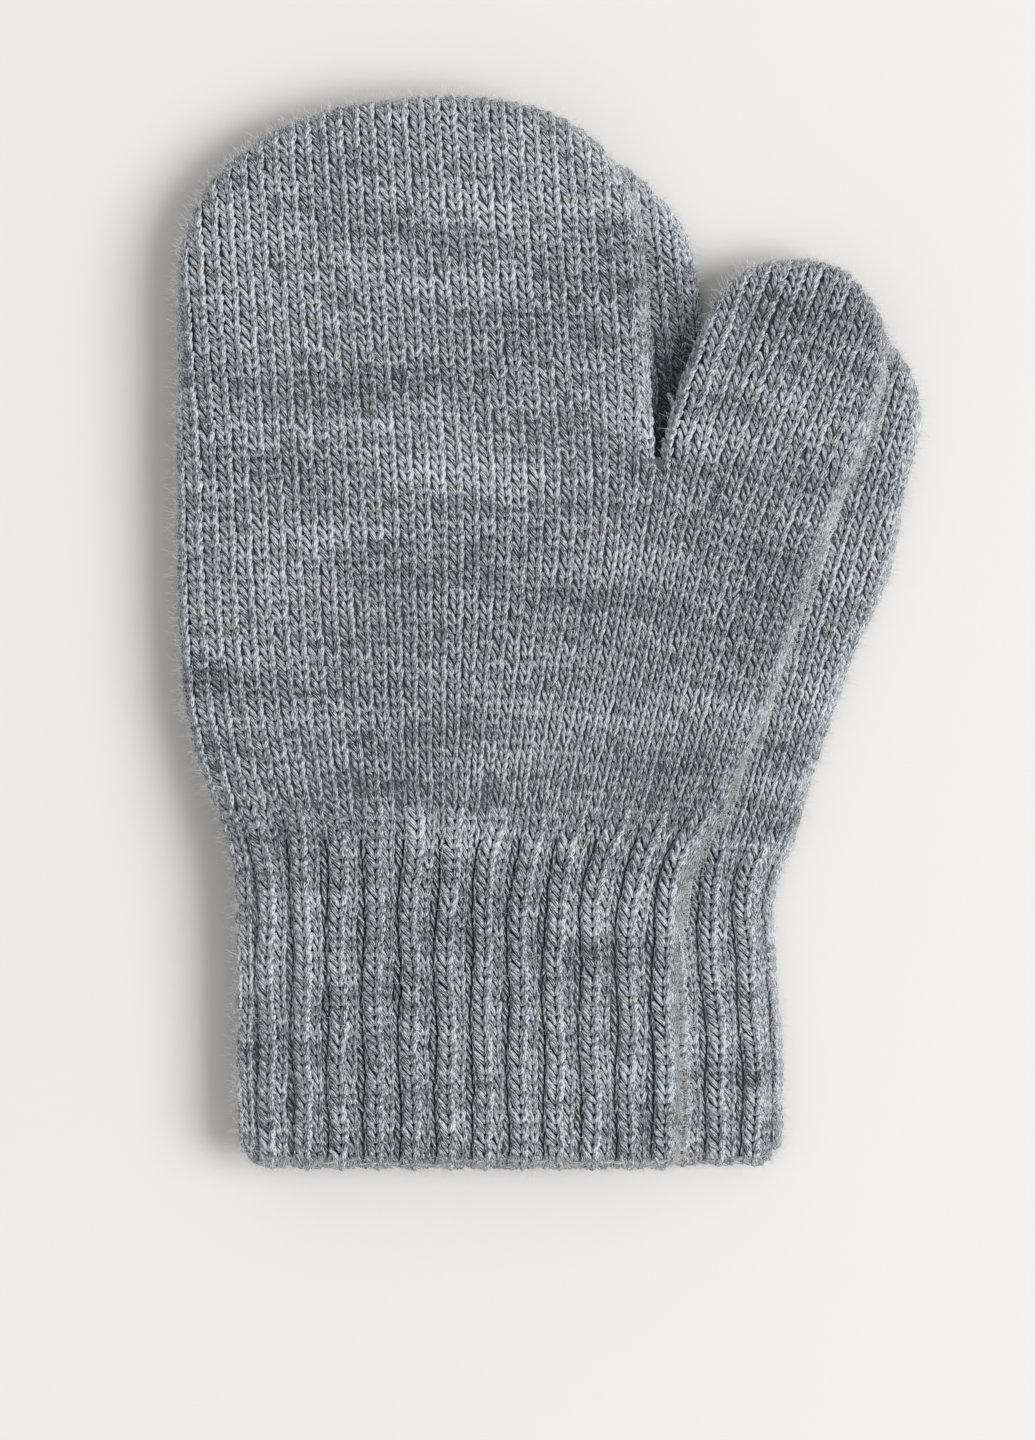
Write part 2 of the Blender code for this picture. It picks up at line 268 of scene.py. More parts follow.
@dataclass(frozen=True)
class Flow:
    """How wales and courses run over one mitten.

    Wales are counted from the crotch of the thumb, negative to the left, and courses are counted
    from it too, negative below. Leans are degrees to the right of straight up, and slopes are
    degrees that a course falls to the right.
    """

    crotch: Point
    cuff_left: Point
    cuff_right: Point
    finger_lean: float
    finger_slope: float
    thumb_lean: float
    thumb_slope: float
    hand_wales: float = 29.3
    thumb_wales: float = 12.0
    left_lean_low: float = -20.0
    right_lean_low: float = 22.0
    lean_low_power: float = 1.3
    lean_lag: float = 1.0
    merging: float = 6.0
    settling: float = 6.0
    crowding: float = 0.10
    knots: Triple = (-40.0, 24.0, 0.25)

    def palm(self, wale: Array, course: Array) -> Array:
        """Places the palm's lattice, which widens from the rib to the crotch.

        Args:
            wale: Wales.
            course: Courses, from the rib at -PALM_COURSES up to 0.

        Returns:
            Flat places, an array of X and Y.
        """
        top = self._crotch_line(wale)
        share = (wale + self.hand_wales) / (self.hand_wales + self.thumb_wales)
        spread = share + self.crowding * np.sin(math.pi * share) * (1.0 - share)
        left, right = np.array(self.cuff_left), np.array(self.cuff_right)
        low = left + spread[:, None] * (right - left)
        turned = 1.0 - (1.0 - np.clip(share, 0.0, 1.0)) ** self.lean_low_power
        lean_low = self.left_lean_low + (self.right_lean_low - self.left_lean_low) * turned
        length = np.linalg.norm(top - low, axis=-1, keepdims=True)
        start = length * self._way(lean_low)
        finish = length * self._way(self._crotch_lean(wale))
        h = (1.0 + course / PALM_COURSES)[:, None]
        square, cube = h * h, h * h * h
        found = (2 * cube - 3 * square + 1) * low + (cube - 2 * square + h) * start
        return found + (3 * square - 2 * cube) * top + (cube - square) * finish

    def above(self, wale: Array, course: Array, lean: float) -> Array:
        """Places the lattice of the fingers or the thumb, which settles to its own lean.

        Args:
            wale: Wales.
            course: Courses, from 0 up.
            lean: The lean that the wales settle to.

        Returns:
            Flat places, an array of X and Y.
        """
        reach = course * COURSE
        way = leaning(lean)
        turn = np.tan(np.radians(self._crotch_lean(wale) - lean))
        aside = turn * self.settling * (1.0 - np.exp(-reach / self.settling))
        top = self._crotch_line(wale)
        return top + reach[:, None] * way + aside[:, None] * np.array([way[1], -way[0]])

    def right_of_crotch(self, points: Array) -> Array:
        """How far points lie right of the line that parts the fingers from the thumb."""
        way = leaning((self.finger_lean + self.thumb_lean) / 2)
        return (points - np.array(self.crotch)) @ np.array([way[1], -way[0]])

    def _merged(self, wale: Array) -> Array:
        """How far each wale has passed from the hand to the thumb, from 0 to 1."""
        return smooth_step((wale + self.merging) / (2 * self.merging))

    def _crotch_lean(self, wale: Array) -> Array:
        """Lean of each wale where it crosses the crotch's course."""
        passed = self._merged(wale - self.lean_lag)
        return self.finger_lean + (self.thumb_lean - self.finger_lean) * passed

    def _crotch_line(self, wale: Array) -> Array:
        """Where wales cross the course that runs through the crotch.

        Args:
            wale: Wales.

        Returns:
            Flat places, an array of X and Y.
        """
        first, last, step = self.knots
        knots = np.arange(first, last, step)
        merged = self._merged(knots)
        slope = np.radians(self.finger_slope + (self.thumb_slope - self.finger_slope) * merged)
        pitch = (WALE + (THUMB_WALE - WALE) * merged) * step
        x, y = np.cumsum(pitch * np.cos(slope)), -np.cumsum(pitch * np.sin(slope))
        across = np.interp(wale, knots, x) - np.interp(0.0, knots, x)
        down = np.interp(wale, knots, y) - np.interp(0.0, knots, y)
        return np.array(self.crotch) + np.column_stack([across, down])

    @staticmethod
    def _way(lean: Array) -> Array:
        """Directions that lean by degrees to the right of straight up."""
        return np.column_stack([np.sin(np.radians(lean)), np.cos(np.radians(lean))])


@dataclass(frozen=True)
class MittenForm:
    """The rounded form of one mitten: its edge, what it lies on, and how its knit runs."""

    name: str
    outline: Outline
    flow: Flow
    swells: tuple[Swell, ...]
    rib_phase: float
    under: MittenForm | None = None

    def seat(self, x: Array, y: Array) -> Array:
        """Height of what the mitten lies on: the floor, or the other mitten and past its edge.

        Args:
            x: Distances across.
            y: Distances from the hem.

        Returns:
            The heights.
        """
        if self.under is None:
            return np.zeros_like(x)
        depth, _ = self.under.outline.depth(np.column_stack([x, y]))
        past_edge = np.maximum(-depth, 0.0)
        droop = DROOP_DEPTH * (1.0 - np.exp(-((past_edge / DROOP_REACH) ** 2)))
        return full_thickness(y) + MITTEN_GAP - droop

    def swell(self, x: Array, y: Array) -> Array:
        """The slow rise and fall of the loose upper face."""
        return sum((swell.at(x, y) for swell in self.swells), np.zeros_like(x))

    def rounded(self, flat: Array, face: Face) -> tuple[Array, Array]:
        """Wraps flat cloth over a face and round its fold.

        Args:
            flat: Flat places as X and Y, in mm.
            face: The face that the cloth covers.

        Returns:
            Places in space, and how far round the fold each is, 1 at the equator.
        """
        y_rolled, drop = self._hem_roll(flat[:, 1])
        flat = np.column_stack([flat[:, 0], y_rolled])
        depth, inward = self.outline.depth(flat)
        half = full_thickness(flat[:, 1]) / 2
        arc = math.pi / 2 * np.sqrt((FOLD_REACH**2 + half**2) / 2)
        share = np.maximum((FOLD_REACH - depth) / arc, 0.0)
        angle = np.minimum(share, FOLD_END) * math.pi / 2
        seated = np.where(share > 0, FOLD_REACH * (1.0 - np.sin(angle)), depth)
        place = flat + inward * (seated - depth)[:, None]
        x, y = place[:, 0], place[:, 1]
        low = self.seat(x, y)
        high = low + full_thickness(y) + self.swell(x, y)
        near_hem = np.clip((HEM_TAPER_REACH - y) / HEM_TAPER_REACH, 0.0, HEM_TAPER_END)
        taper = HEM_TAPER * near_hem**HEM_TAPER_POWER
        z = (low + high) / 2 + face.value * ((high - low) / 2 - taper - drop) * np.cos(angle)
        return np.column_stack([x, y, z]), share

    @staticmethod
    def _hem_roll(y: Array) -> tuple[Array, Array]:
        """Turns the last rows of the cuff over the hem's edge.

        Args:
            y: Unrolled distance from the hem.

        Returns:
            The rolled distance, and how far the row drops below the face.
        """
        angle = np.clip((HEM_ROLL - y) / HEM_ROLL, 0.0, HEM_ROLL_END)
        rolled = np.where(y < HEM_ROLL, HEM_ROLL * (1.0 - np.sin(angle)), y)
        return rolled, HEM_ROLL * (1.0 - np.cos(angle))


UPPER_OUTLINE = Outline(
    hand=(
        (-40.8, 0.0), (-42.7, 1.9), (-43.6, 4.7), (-43.9, 16.1), (-43.9, 33.2), (-44.2, 40.9),
        (-45.2, 46.0), (-46.7, 50.6), (-49.2, 56.7), (-51.0, 63.8), (-52.0, 72.4), (-52.4, 83.1),
        (-52.4, 93.8), (-52.3, 103.3), (-51.9, 112.7), (-52.2, 121.6), (-51.9, 129.0),
        (-49.9, 135.5), (-46.6, 140.1), (-42.2, 143.9), (-36.5, 147.2), (-28.9, 149.5),
        (-21.1, 150.6), (-14.2, 151.0), (-7.4, 150.5), (-1.4, 149.2), (3.8, 146.8), (7.7, 143.2),
        (10.5, 138.9), (12.7, 134.4), (13.5, 127.5), (13.8, 119.4), (14.2, 110.2), (15.3, 100.0),
    ),
    thumb=(
        (15.3, 100.0), (18.1, 109.0), (19.9, 114.1), (22.1, 118.7), (24.4, 123.0), (26.9, 125.7),
        (30.5, 127.5), (35.3, 128.2), (40.5, 127.1), (43.6, 124.7), (46.0, 121.3), (47.5, 116.6),
        (46.9, 109.9), (44.6, 101.9), (40.1, 91.4), (38.0, 85.6), (35.8, 79.4), (32.9, 70.5),
        (30.2, 62.8), (27.1, 56.3), (24.8, 49.8), (21.9, 45.3), (19.8, 40.3), (18.8, 33.2),
        (18.8, 16.1), (18.8, 4.7), (18.2, 1.9), (16.5, 0.0),
    ),
)
LOWER_OUTLINE = Outline(
    hand=(
        (-27.9, 0.0), (-28.9, 1.9), (-29.4, 4.7), (-29.5, 16.1), (-30.2, 27.5), (-30.9, 36.1),
        (-32.2, 40.9), (-34.5, 46.1), (-37.3, 51.7), (-39.6, 58.6), (-40.9, 67.4), (-41.9, 77.4),
        (-42.7, 88.1), (-43.5, 97.4), (-43.9, 105.9), (-44.3, 113.7), (-44.5, 122.3),
        (-43.0, 129.4), (-40.0, 134.5), (-35.1, 138.7), (-29.4, 141.9), (-22.2, 144.2),
        (-14.0, 145.3), (-7.1, 145.8), (0.0, 145.1), (6.0, 143.6), (11.4, 141.2), (15.2, 137.7),
        (18.4, 133.7), (20.5, 129.1), (21.7, 121.6), (22.1, 112.3), (22.5, 103.0), (23.8, 92.7),
    ),
    thumb=(
        (23.8, 92.7), (26.9, 100.9), (28.8, 106.2), (30.5, 110.4), (32.5, 114.1), (34.9, 116.7),
        (38.5, 118.4), (42.9, 119.0), (46.7, 118.0), (49.3, 115.9), (51.3, 112.4), (52.6, 108.0),
        (52.3, 103.0), (50.6, 95.9), (48.4, 84.6), (46.3, 79.2), (43.9, 73.8), (41.0, 65.7),
        (38.5, 58.6), (36.3, 51.7), (34.5, 45.5), (32.3, 40.3), (31.6, 35.3), (32.1, 27.5),
        (32.9, 16.1), (32.9, 4.7), (32.2, 1.9), (30.8, 0.0),
    ),
)
LOWER_FORM = MittenForm(
    name="lower",
    outline=LOWER_OUTLINE,
    flow=Flow(
        crotch=(23.8, 92.7),
        cuff_left=(-34.5, 46.3),
        cuff_right=(34.5, 45.6),
        finger_lean=-5.5,
        finger_slope=4.0,
        thumb_lean=17.0,
        thumb_slope=17.7,
    ),
    swells=(Swell(0.10, 64.0, -52.0, 1.3), Swell(0.08, 33.0, 47.0, 5.2)),
    rib_phase=2.6,
)
UPPER_FORM = MittenForm(
    name="upper",
    outline=UPPER_OUTLINE,
    flow=Flow(
        crotch=(15.3, 100.0),
        cuff_left=(-46.7, 50.9),
        cuff_right=(24.8, 50.0),
        finger_lean=-3.6,
        finger_slope=2.5,
        thumb_lean=21.0,
        thumb_slope=19.3,
    ),
    swells=(
        Swell(0.26, 71.0, 58.0, 0.4),
        Swell(0.18, -38.0, 44.0, 2.1),
        Swell(0.12, 24.0, -93.0, 4.0),
    ),
    rib_phase=3.95,
    under=LOWER_FORM,
)


def drawing_shift() -> Array:
    """Place of the drawing's origin in the frame, from the furthest right and top points.

    Returns:
        The place, in mm.
    """
    edges = [form.outline.closed_line() for form in (UPPER_FORM, LOWER_FORM)]
    far = np.vstack(edges).max(axis=0)
    return np.array([CAD_BOX[1][0] / MM - far[0], CAD_BOX[1][1] / MM - far[1], 0.0])


class Signal:
    """A socket of a node tree that Python's arithmetic works on, by adding Math nodes."""

    def __init__(self, bench: Bench, socket: bpy.types.NodeSocket) -> None:
        """Keeps the socket and the bench that adds its nodes."""
        self.bench = bench
        self.socket = socket

    def __add__(self, other: Value) -> Signal:
        """Self plus other."""
        return self.bench.math("ADD", self, other)

    def __radd__(self, other: Value) -> Signal:
        """Other plus self."""
        return self.bench.math("ADD", other, self)

    def __sub__(self, other: Value) -> Signal:
        """Self minus other."""
        return self.bench.math("SUBTRACT", self, other)

    def __rsub__(self, other: Value) -> Signal:
        """Other minus self."""
        return self.bench.math("SUBTRACT", other, self)

    def __mul__(self, other: Value) -> Signal:
        """Self times other."""
        return self.bench.math("MULTIPLY", self, other)

    def __rmul__(self, other: Value) -> Signal:
        """Other times self."""
        return self.bench.math("MULTIPLY", other, self)


Value = Signal | float | int | bool | str | Sequence[float] | bpy.types.ID
Stops = Sequence[tuple[float, Triple]]


class Bench:
    """Adds nodes to one tree."""

    def __init__(self, tree: bpy.types.NodeTree) -> None:
        """Keeps the tree."""
        self.tree = tree

    def add(
        self,
        kind: str,
        settings: Mapping[str, Any] | None = None,
        sockets: Mapping[str | int, Value] | None = None,
        output: str | int = 0,
    ) -> Signal:
        """Adds one node.

        Args:
            kind: The node's type.
            settings: The node's own settings, set first. Stops are a ramp's places and colours.
            sockets: Values or links of its inputs, by name or number.
            output: The output to go on with, by name or number.

        Returns:
            That output.
        """
        node = self.tree.nodes.new(kind)
        for name, value in (settings or {}).items():
            if name == "stops":
                self._set_stops(node.color_ramp, value)
            else:
                setattr(node, name, value)
        for key, value in (sockets or {}).items():
            socket = self._find(node.inputs, key)
            if isinstance(value, Signal):
                self.tree.links.new(value.socket, socket)
            else:
                socket.default_value = value
        return Signal(self, self._find(node.outputs, output))

    def math(self, operation: str, *values: Value) -> Signal:
        """Adds a Math node on these values."""
        return self.add("ShaderNodeMath", {"operation": operation}, dict(enumerate(values)))

    def vector(self, x: Value, y: Value, z: Value) -> Signal:
        """Joins three numbers to a vector."""
        return self.add("ShaderNodeCombineXYZ", sockets={0: x, 1: y, 2: z})

    def split(self, vector: Signal) -> tuple[Signal, Signal, Signal]:
        """Parts a vector into its three numbers.

        Args:
            vector: The vector.

        Returns:
            X, Y and Z.
        """
        node = self.add("ShaderNodeSeparateXYZ", sockets={0: vector}).socket.node
        x, y, z = (Signal(self, socket) for socket in node.outputs)
        return x, y, z

    def eased(self, value: Signal) -> Signal:
        """Eases from 0 to 1, and holds them beyond."""
        settings = {"interpolation_type": "SMOOTHSTEP", "clamp": True}
        return self.add("ShaderNodeMapRange", settings, {"Value": value})

    @staticmethod
    def _find(sockets: Any, key: str | int) -> bpy.types.NodeSocket:
        """Finds a socket.

        Args:
            sockets: A node's inputs or outputs.
            key: The name of an enabled socket, or a socket's number.

        Returns:
            The socket.
        """
        if isinstance(key, int):
            return sockets[key]
        return next(socket for socket in sockets if socket.name == key and socket.enabled)

    @staticmethod
    def _set_stops(ramp: bpy.types.ColorRamp, stops: Stops) -> None:
        """Gives a colour ramp its stops.

        Args:
            ramp: The ramp.
            stops: Places and colours.
        """
        while len(ramp.elements) < len(stops):
            ramp.elements.new(0.5)
        for element, (place, colour) in zip(ramp.elements, stops):
            element.position = place
            element.color = (*colour, 1.0)


class Recipe(Bench):
    """A Geometry Nodes tree with named inputs, which a mesh of points is passed through."""

    def __init__(self, name: str) -> None:
        """Makes an empty tree that takes and gives a geometry.

        Args:
            name: The tree's name.
        """
        super().__init__(bpy.data.node_groups.new(name, "GeometryNodeTree"))
        shape = "NodeSocketGeometry"
        self.tree.interface.new_socket("Geometry", in_out="INPUT", socket_type=shape)
        self.tree.interface.new_socket("Geometry", in_out="OUTPUT", socket_type=shape)
        self.inlet = self.tree.nodes.new("NodeGroupInput")
        self.outlet = self.tree.nodes.new("NodeGroupOutput")
        self.points = Signal(self, self.inlet.outputs["Geometry"])

    def given(self, name: str, kind: str, default: Any = None) -> Signal:
        """Adds a named input to the tree.

        Args:
            name: The input's name.
            kind: Its socket's type, such as Float, Int or Material.
            default: Its value where none is set.

        Returns:
            The input, to work with.
        """
        kind = f"NodeSocket{kind}"
        socket = self.tree.interface.new_socket(name, in_out="INPUT", socket_type=kind)
        if default is not None:
            socket.default_value = default
        return Signal(self, self.inlet.outputs[name])

    def attribute(self, name: str, kind: str = "FLOAT") -> Signal:
        """Reads a named attribute of the points."""
        kinds = {"data_type": kind}
        return self.add("GeometryNodeInputNamedAttribute", kinds, {"Name": name}, "Attribute")

    def stored(self, shape: Signal, name: str, value: Value, kind: str = "FLOAT") -> Signal:
        """Keeps a value on a shape's points under a name."""
        settings = {"data_type": kind, "domain": "POINT"}
        sockets = {"Geometry": shape, "Name": name, "Value": value}
        return self.add("GeometryNodeStoreNamedAttribute", settings, sockets)

    def joined(self, *shapes: Signal) -> Signal:
        """Joins shapes.

        Args:
            shapes: The shapes.

        Returns:
            All of them as one.
        """
        joint = self.add("GeometryNodeJoinGeometry")
        for shape in shapes:
            self.tree.links.new(shape.socket, joint.socket.node.inputs[0])
        return joint

    def line(self, rows: int) -> tuple[Signal, Signal]:
        """Draws a straight curve from 0 to 1 along Y.

        Args:
            rows: How many points it has.

        Returns:
            The curve, and how far along it each point is.
        """
        line = self.add("GeometryNodeCurvePrimitiveLine", sockets={"End": (0.0, 1.0, 0.0)})
        sockets = {"Curve": line, "Count": rows}
        line = self.add("GeometryNodeResampleCurve", {"mode": "COUNT"}, sockets)
        return line, self.add("GeometryNodeSplineParameter", output="Factor")

    def placed(self, line: Signal, place: Signal) -> Signal:
        """Moves a shape's points to places."""
        return self.add("GeometryNodeSetPosition", sockets={"Geometry": line, "Position": place})

    def circle(self, sides: int) -> Signal:
        """A circle of radius 1."""
        sockets = {"Resolution": sides, "Radius": 1.0}
        return self.add("GeometryNodeCurvePrimitiveCircle", {"mode": "RADIUS"}, sockets)

    def swept(self, curve: Signal, profile: Signal, radius: Signal) -> Signal:
        """Sweeps a profile along a curve into a closed mesh."""
        sockets = {"Curve": curve, "Profile Curve": profile, "Scale": radius, "Fill Caps": True}
        return self.add("GeometryNodeCurveToMesh", sockets=sockets)

    def instanced(self, shape: Signal, z_way: str, y_way: str, **chosen: Signal) -> Signal:
        """Sets a shape on every point, at the size that the point carries.

        Args:
            shape: The shape.
            z_way: Name of the direction that the shape's Z turns to.
            y_way: Name of the direction that its Y turns to, as near as it can.
            chosen: Selection, if only some points get the shape.

        Returns:
            The instances.
        """
        kind = "FunctionNodeAlignRotationToVector"
        upright = self.add(kind, {"axis": "Z"}, {"Vector": self.attribute(z_way, "FLOAT_VECTOR")})
        sockets = {"Rotation": upright, "Vector": self.attribute(y_way, "FLOAT_VECTOR")}
        turned = self.add(kind, {"axis": "Y", "pivot_axis": "Z"}, sockets)
        size = self.attribute("stretch", "FLOAT_VECTOR")
        sockets = {"Points": self.points, "Instance": shape, "Rotation": turned, "Scale": size}
        return self.add("GeometryNodeInstanceOnPoints", sockets={**sockets, **chosen})

    def finished(self, shape: Signal, material: Signal) -> None:
        """Realizes the instances, shades them smooth and gives them their material.

        Args:
            shape: The instances.
            material: The material.
        """
        solid = self.add("GeometryNodeRealizeInstances", sockets={0: shape})
        smooth = self.add("GeometryNodeSetShadeSmooth", sockets={"Geometry": solid})
        sockets = {"Geometry": smooth, "Material": material}
        dressed = self.add("GeometryNodeSetMaterial", sockets=sockets)
        self.tree.links.new(dressed.socket, self.outlet.inputs["Geometry"])

    def applied(
        self, name: str, points: bpy.types.Mesh, values: Mapping[str, Any]
    ) -> bpy.types.Object:
        """Runs the tree on points and keeps the result as a plain mesh.

        Args:
            name: Name of the finished piece.
            points: The points, with their attributes.
            values: The tree's named inputs.

        Returns:
            The finished piece.
        """
        carrier = bpy.data.objects.new(f"{name}_points", points)
        bpy.context.scene.collection.objects.link(carrier)
        modifier = carrier.modifiers.new("knit", "NODES")
        modifier.node_group = self.tree
        for item in self.tree.interface.items_tree:
            if item.in_out == "INPUT" and item.name in values:
                modifier[item.identifier] = values[item.name]
        carrier.update_tag()
        bpy.context.view_layer.update()
        evaluated = carrier.evaluated_get(bpy.context.evaluated_depsgraph_get())
        mesh = bpy.data.meshes.new_from_object(evaluated)
        mesh.name = name
        bpy.data.objects.remove(carrier, do_unlink=True)
        piece = bpy.data.objects.new(name, mesh)
        bpy.context.scene.collection.objects.link(piece)
        return piece


class StitchRecipe(Recipe):
    """Sets a knit stitch, a pair of yarn legs, on every point.

    A point carries the way that the stitch faces, the way its wale runs, its size across, along
    and deep, and if it is fine or plain. Waves are a start and a length in half turns.
    """

    FINE_ROWS = 5
    PLAIN_ROWS = 3
    HUMP = (0.15, 0.80)
    HUMP_SINK = 0.6
    SKEW_FOOT = 0.3
    BELLY = (0.08, 0.84)
    THINNEST = 0.42
    RIGHT_THICKER = 0.06

    def __init__(self) -> None:
        """Builds the tree."""
        super().__init__("knit_stitches")
        self.foot = self.given("Foot Spread", "Float", 0.09)
        self.head = self.given("Head Spread", "Float", 0.375)
        self.reach = self.given("Leg Reach", "Float", 1.52)
        self.rise = self.given("Leg Rise", "Float", 0.16)
        self.thick = self.given("Yarn Radius", "Float", 0.205)
        self.skew = self.given("Skew", "Float", 0.145)
        self.over = self.given("Right Leg Over", "Float", 0.035)
        material = self.given("Material", "Material")
        fine = self.attribute("fine", "BOOLEAN")
        plain = self.add("FunctionNodeBooleanMath", {"operation": "NOT"}, {0: fine})
        shapes = []
        for chosen, rows in ((fine, self.FINE_ROWS), (plain, self.PLAIN_ROWS)):
            stitch = self.joined(self.leg(-1.0, rows), self.leg(1.0, rows))
            shapes.append(self.instanced(stitch, "facing", "wale_way", Selection=chosen))
        self.finished(self.joined(*shapes), material)

    def leg(self, side: float, rows: int) -> Signal:
        """One leg of the stitch, a fat yarn that leans out as it climbs.

        Args:
            side: 1 for the right leg and -1 for the left one.
            rows: Points along the yarn, and its sides.

        Returns:
            The leg as a closed mesh.
        """
        line, along = self.line(rows)
        spread = self.foot + (self.head - self.foot) * self.eased(along)
        place = self.vector(
            side * spread - self.skew * (along - self.SKEW_FOOT),
            self.reach * (along - 0.5),
            self.rise * (self._wave(along, self.HUMP) - self.HUMP_SINK) + self.over * side,
        )
        fullness = self.THINNEST + (1.0 - self.THINNEST) * self._wave(along, self.BELLY)
        radius = self.thick * (1.0 + self.RIGHT_THICKER * side) * fullness
        line = self.stored(self.placed(line, place), "along", along)
        ring = self.add("GeometryNodeInputPosition")
        profile = self.stored(self.circle(rows), "ring", ring, "FLOAT_VECTOR")
        return self.swept(line, profile, radius)

    def _wave(self, along: Signal, wave: Point) -> Signal:
        """A sine's rise and fall along the leg."""
        return self.math("SINE", along * (wave[1] * math.pi) + wave[0] * math.pi)


class FibreRecipe(Recipe):
    """Sets a loose curved fibre of wool on every point."""

    ROWS = 3
    SIDES = 3
    LIFT = 0.3
    SPIN = (0.5, 3.1, 0.5)
    THINNING = 0.7

    def __init__(self) -> None:
        """Builds the tree."""
        super().__init__("loose_fibres")
        bend = self.given("Bend", "Float", 0.35)
        radius = self.given("Fibre Radius", "Float", 0.000030)
        seed = self.given("Seed", "Int", 7)
        material = self.given("Material", "Material")
        line, along = self.line(self.ROWS)
        arch = bend * along * along
        line = self.placed(line, self.vector(arch, along, arch * self.LIFT))
        fibres = self.instanced(self.stored(line, "along", along), "side_way", "fibre_way")
        limits = {"Min": [-turn for turn in self.SPIN], "Max": self.SPIN, "Seed": seed}
        settings = {"data_type": "FLOAT_VECTOR"}
        spin = self.add("FunctionNodeRandomValue", settings, limits, "Value")
        sockets = {"Instances": fibres, "Rotation": spin}
        fibres = self.add("GeometryNodeRotateInstances", sockets=sockets)
        curves = self.add("GeometryNodeRealizeInstances", sockets={0: fibres})
        taper = radius * (1.0 - self.THINNING * self.attribute("along"))
        self.finished(self.swept(curves, self.circle(self.SIDES), taper), material)


DULL_WOOL = {
    "Roughness": 0.92,
    "Specular IOR Level": 0.18,
    "Sheen Weight": 0.25,
    "Sheen Roughness": 0.6,
    "Metallic": 0.0,
}


class Finish(Bench):
    """A new material, whose surface is one Principled shader."""

    def __init__(self, name: str) -> None:
        """Makes the material.

        Args:
            name: Its name.
        """
        self.material = bpy.data.materials.new(name)
        self.material.use_nodes = True
        super().__init__(self.material.node_tree)
        self.shader = self.tree.nodes["Principled BSDF"]

    def carried(self, name: str, output: str = "Fac") -> Signal:
        """What the surface carries under a name."""
        return self.add("ShaderNodeAttribute", {"attribute_name": name}, output=output)

    def noise(
        self, place: Signal, scale: float = 1.0, detail: float = 2.0, roughness: float = 0.5
    ) -> Signal:
        """Noise at places."""
        sockets = {"Vector": place, "Scale": scale, "Detail": detail, "Roughness": roughness}
        return self.add("ShaderNodeTexNoise", sockets=sockets)

    def ramp(self, value: Signal, stops: Stops) -> Signal:
        """Turns a value to a colour."""
        return self.add("ShaderNodeValToRGB", {"stops": stops}, {"Fac": value}, "Color")

    def bumped(self, height: Signal, strength: float, distance: float) -> None:
        """Roughens the surface by a height, whose full range is a distance in metres."""
        sockets = {"Height": height, "Strength": strength, "Distance": distance}
        bump = self.add("ShaderNodeBump", sockets=sockets)
        self.tree.links.new(bump.socket, self.shader.inputs["Normal"])

    def constants(self, values: Mapping[str, Any]) -> None:
        """Sets what doesn't change over the surface."""
        for name, value in values.items():
            self.shader.inputs[name].default_value = value

    def wool(self, colour: Signal) -> bpy.types.Material:
        """Gives the surface its colour and the dull nap of wool.

        Args:
            colour: The colour.

        Returns:
            The material.
        """
        self.tree.links.new(colour.socket, self.shader.inputs["Base Color"])
        self.constants(DULL_WOOL)
        return self.material


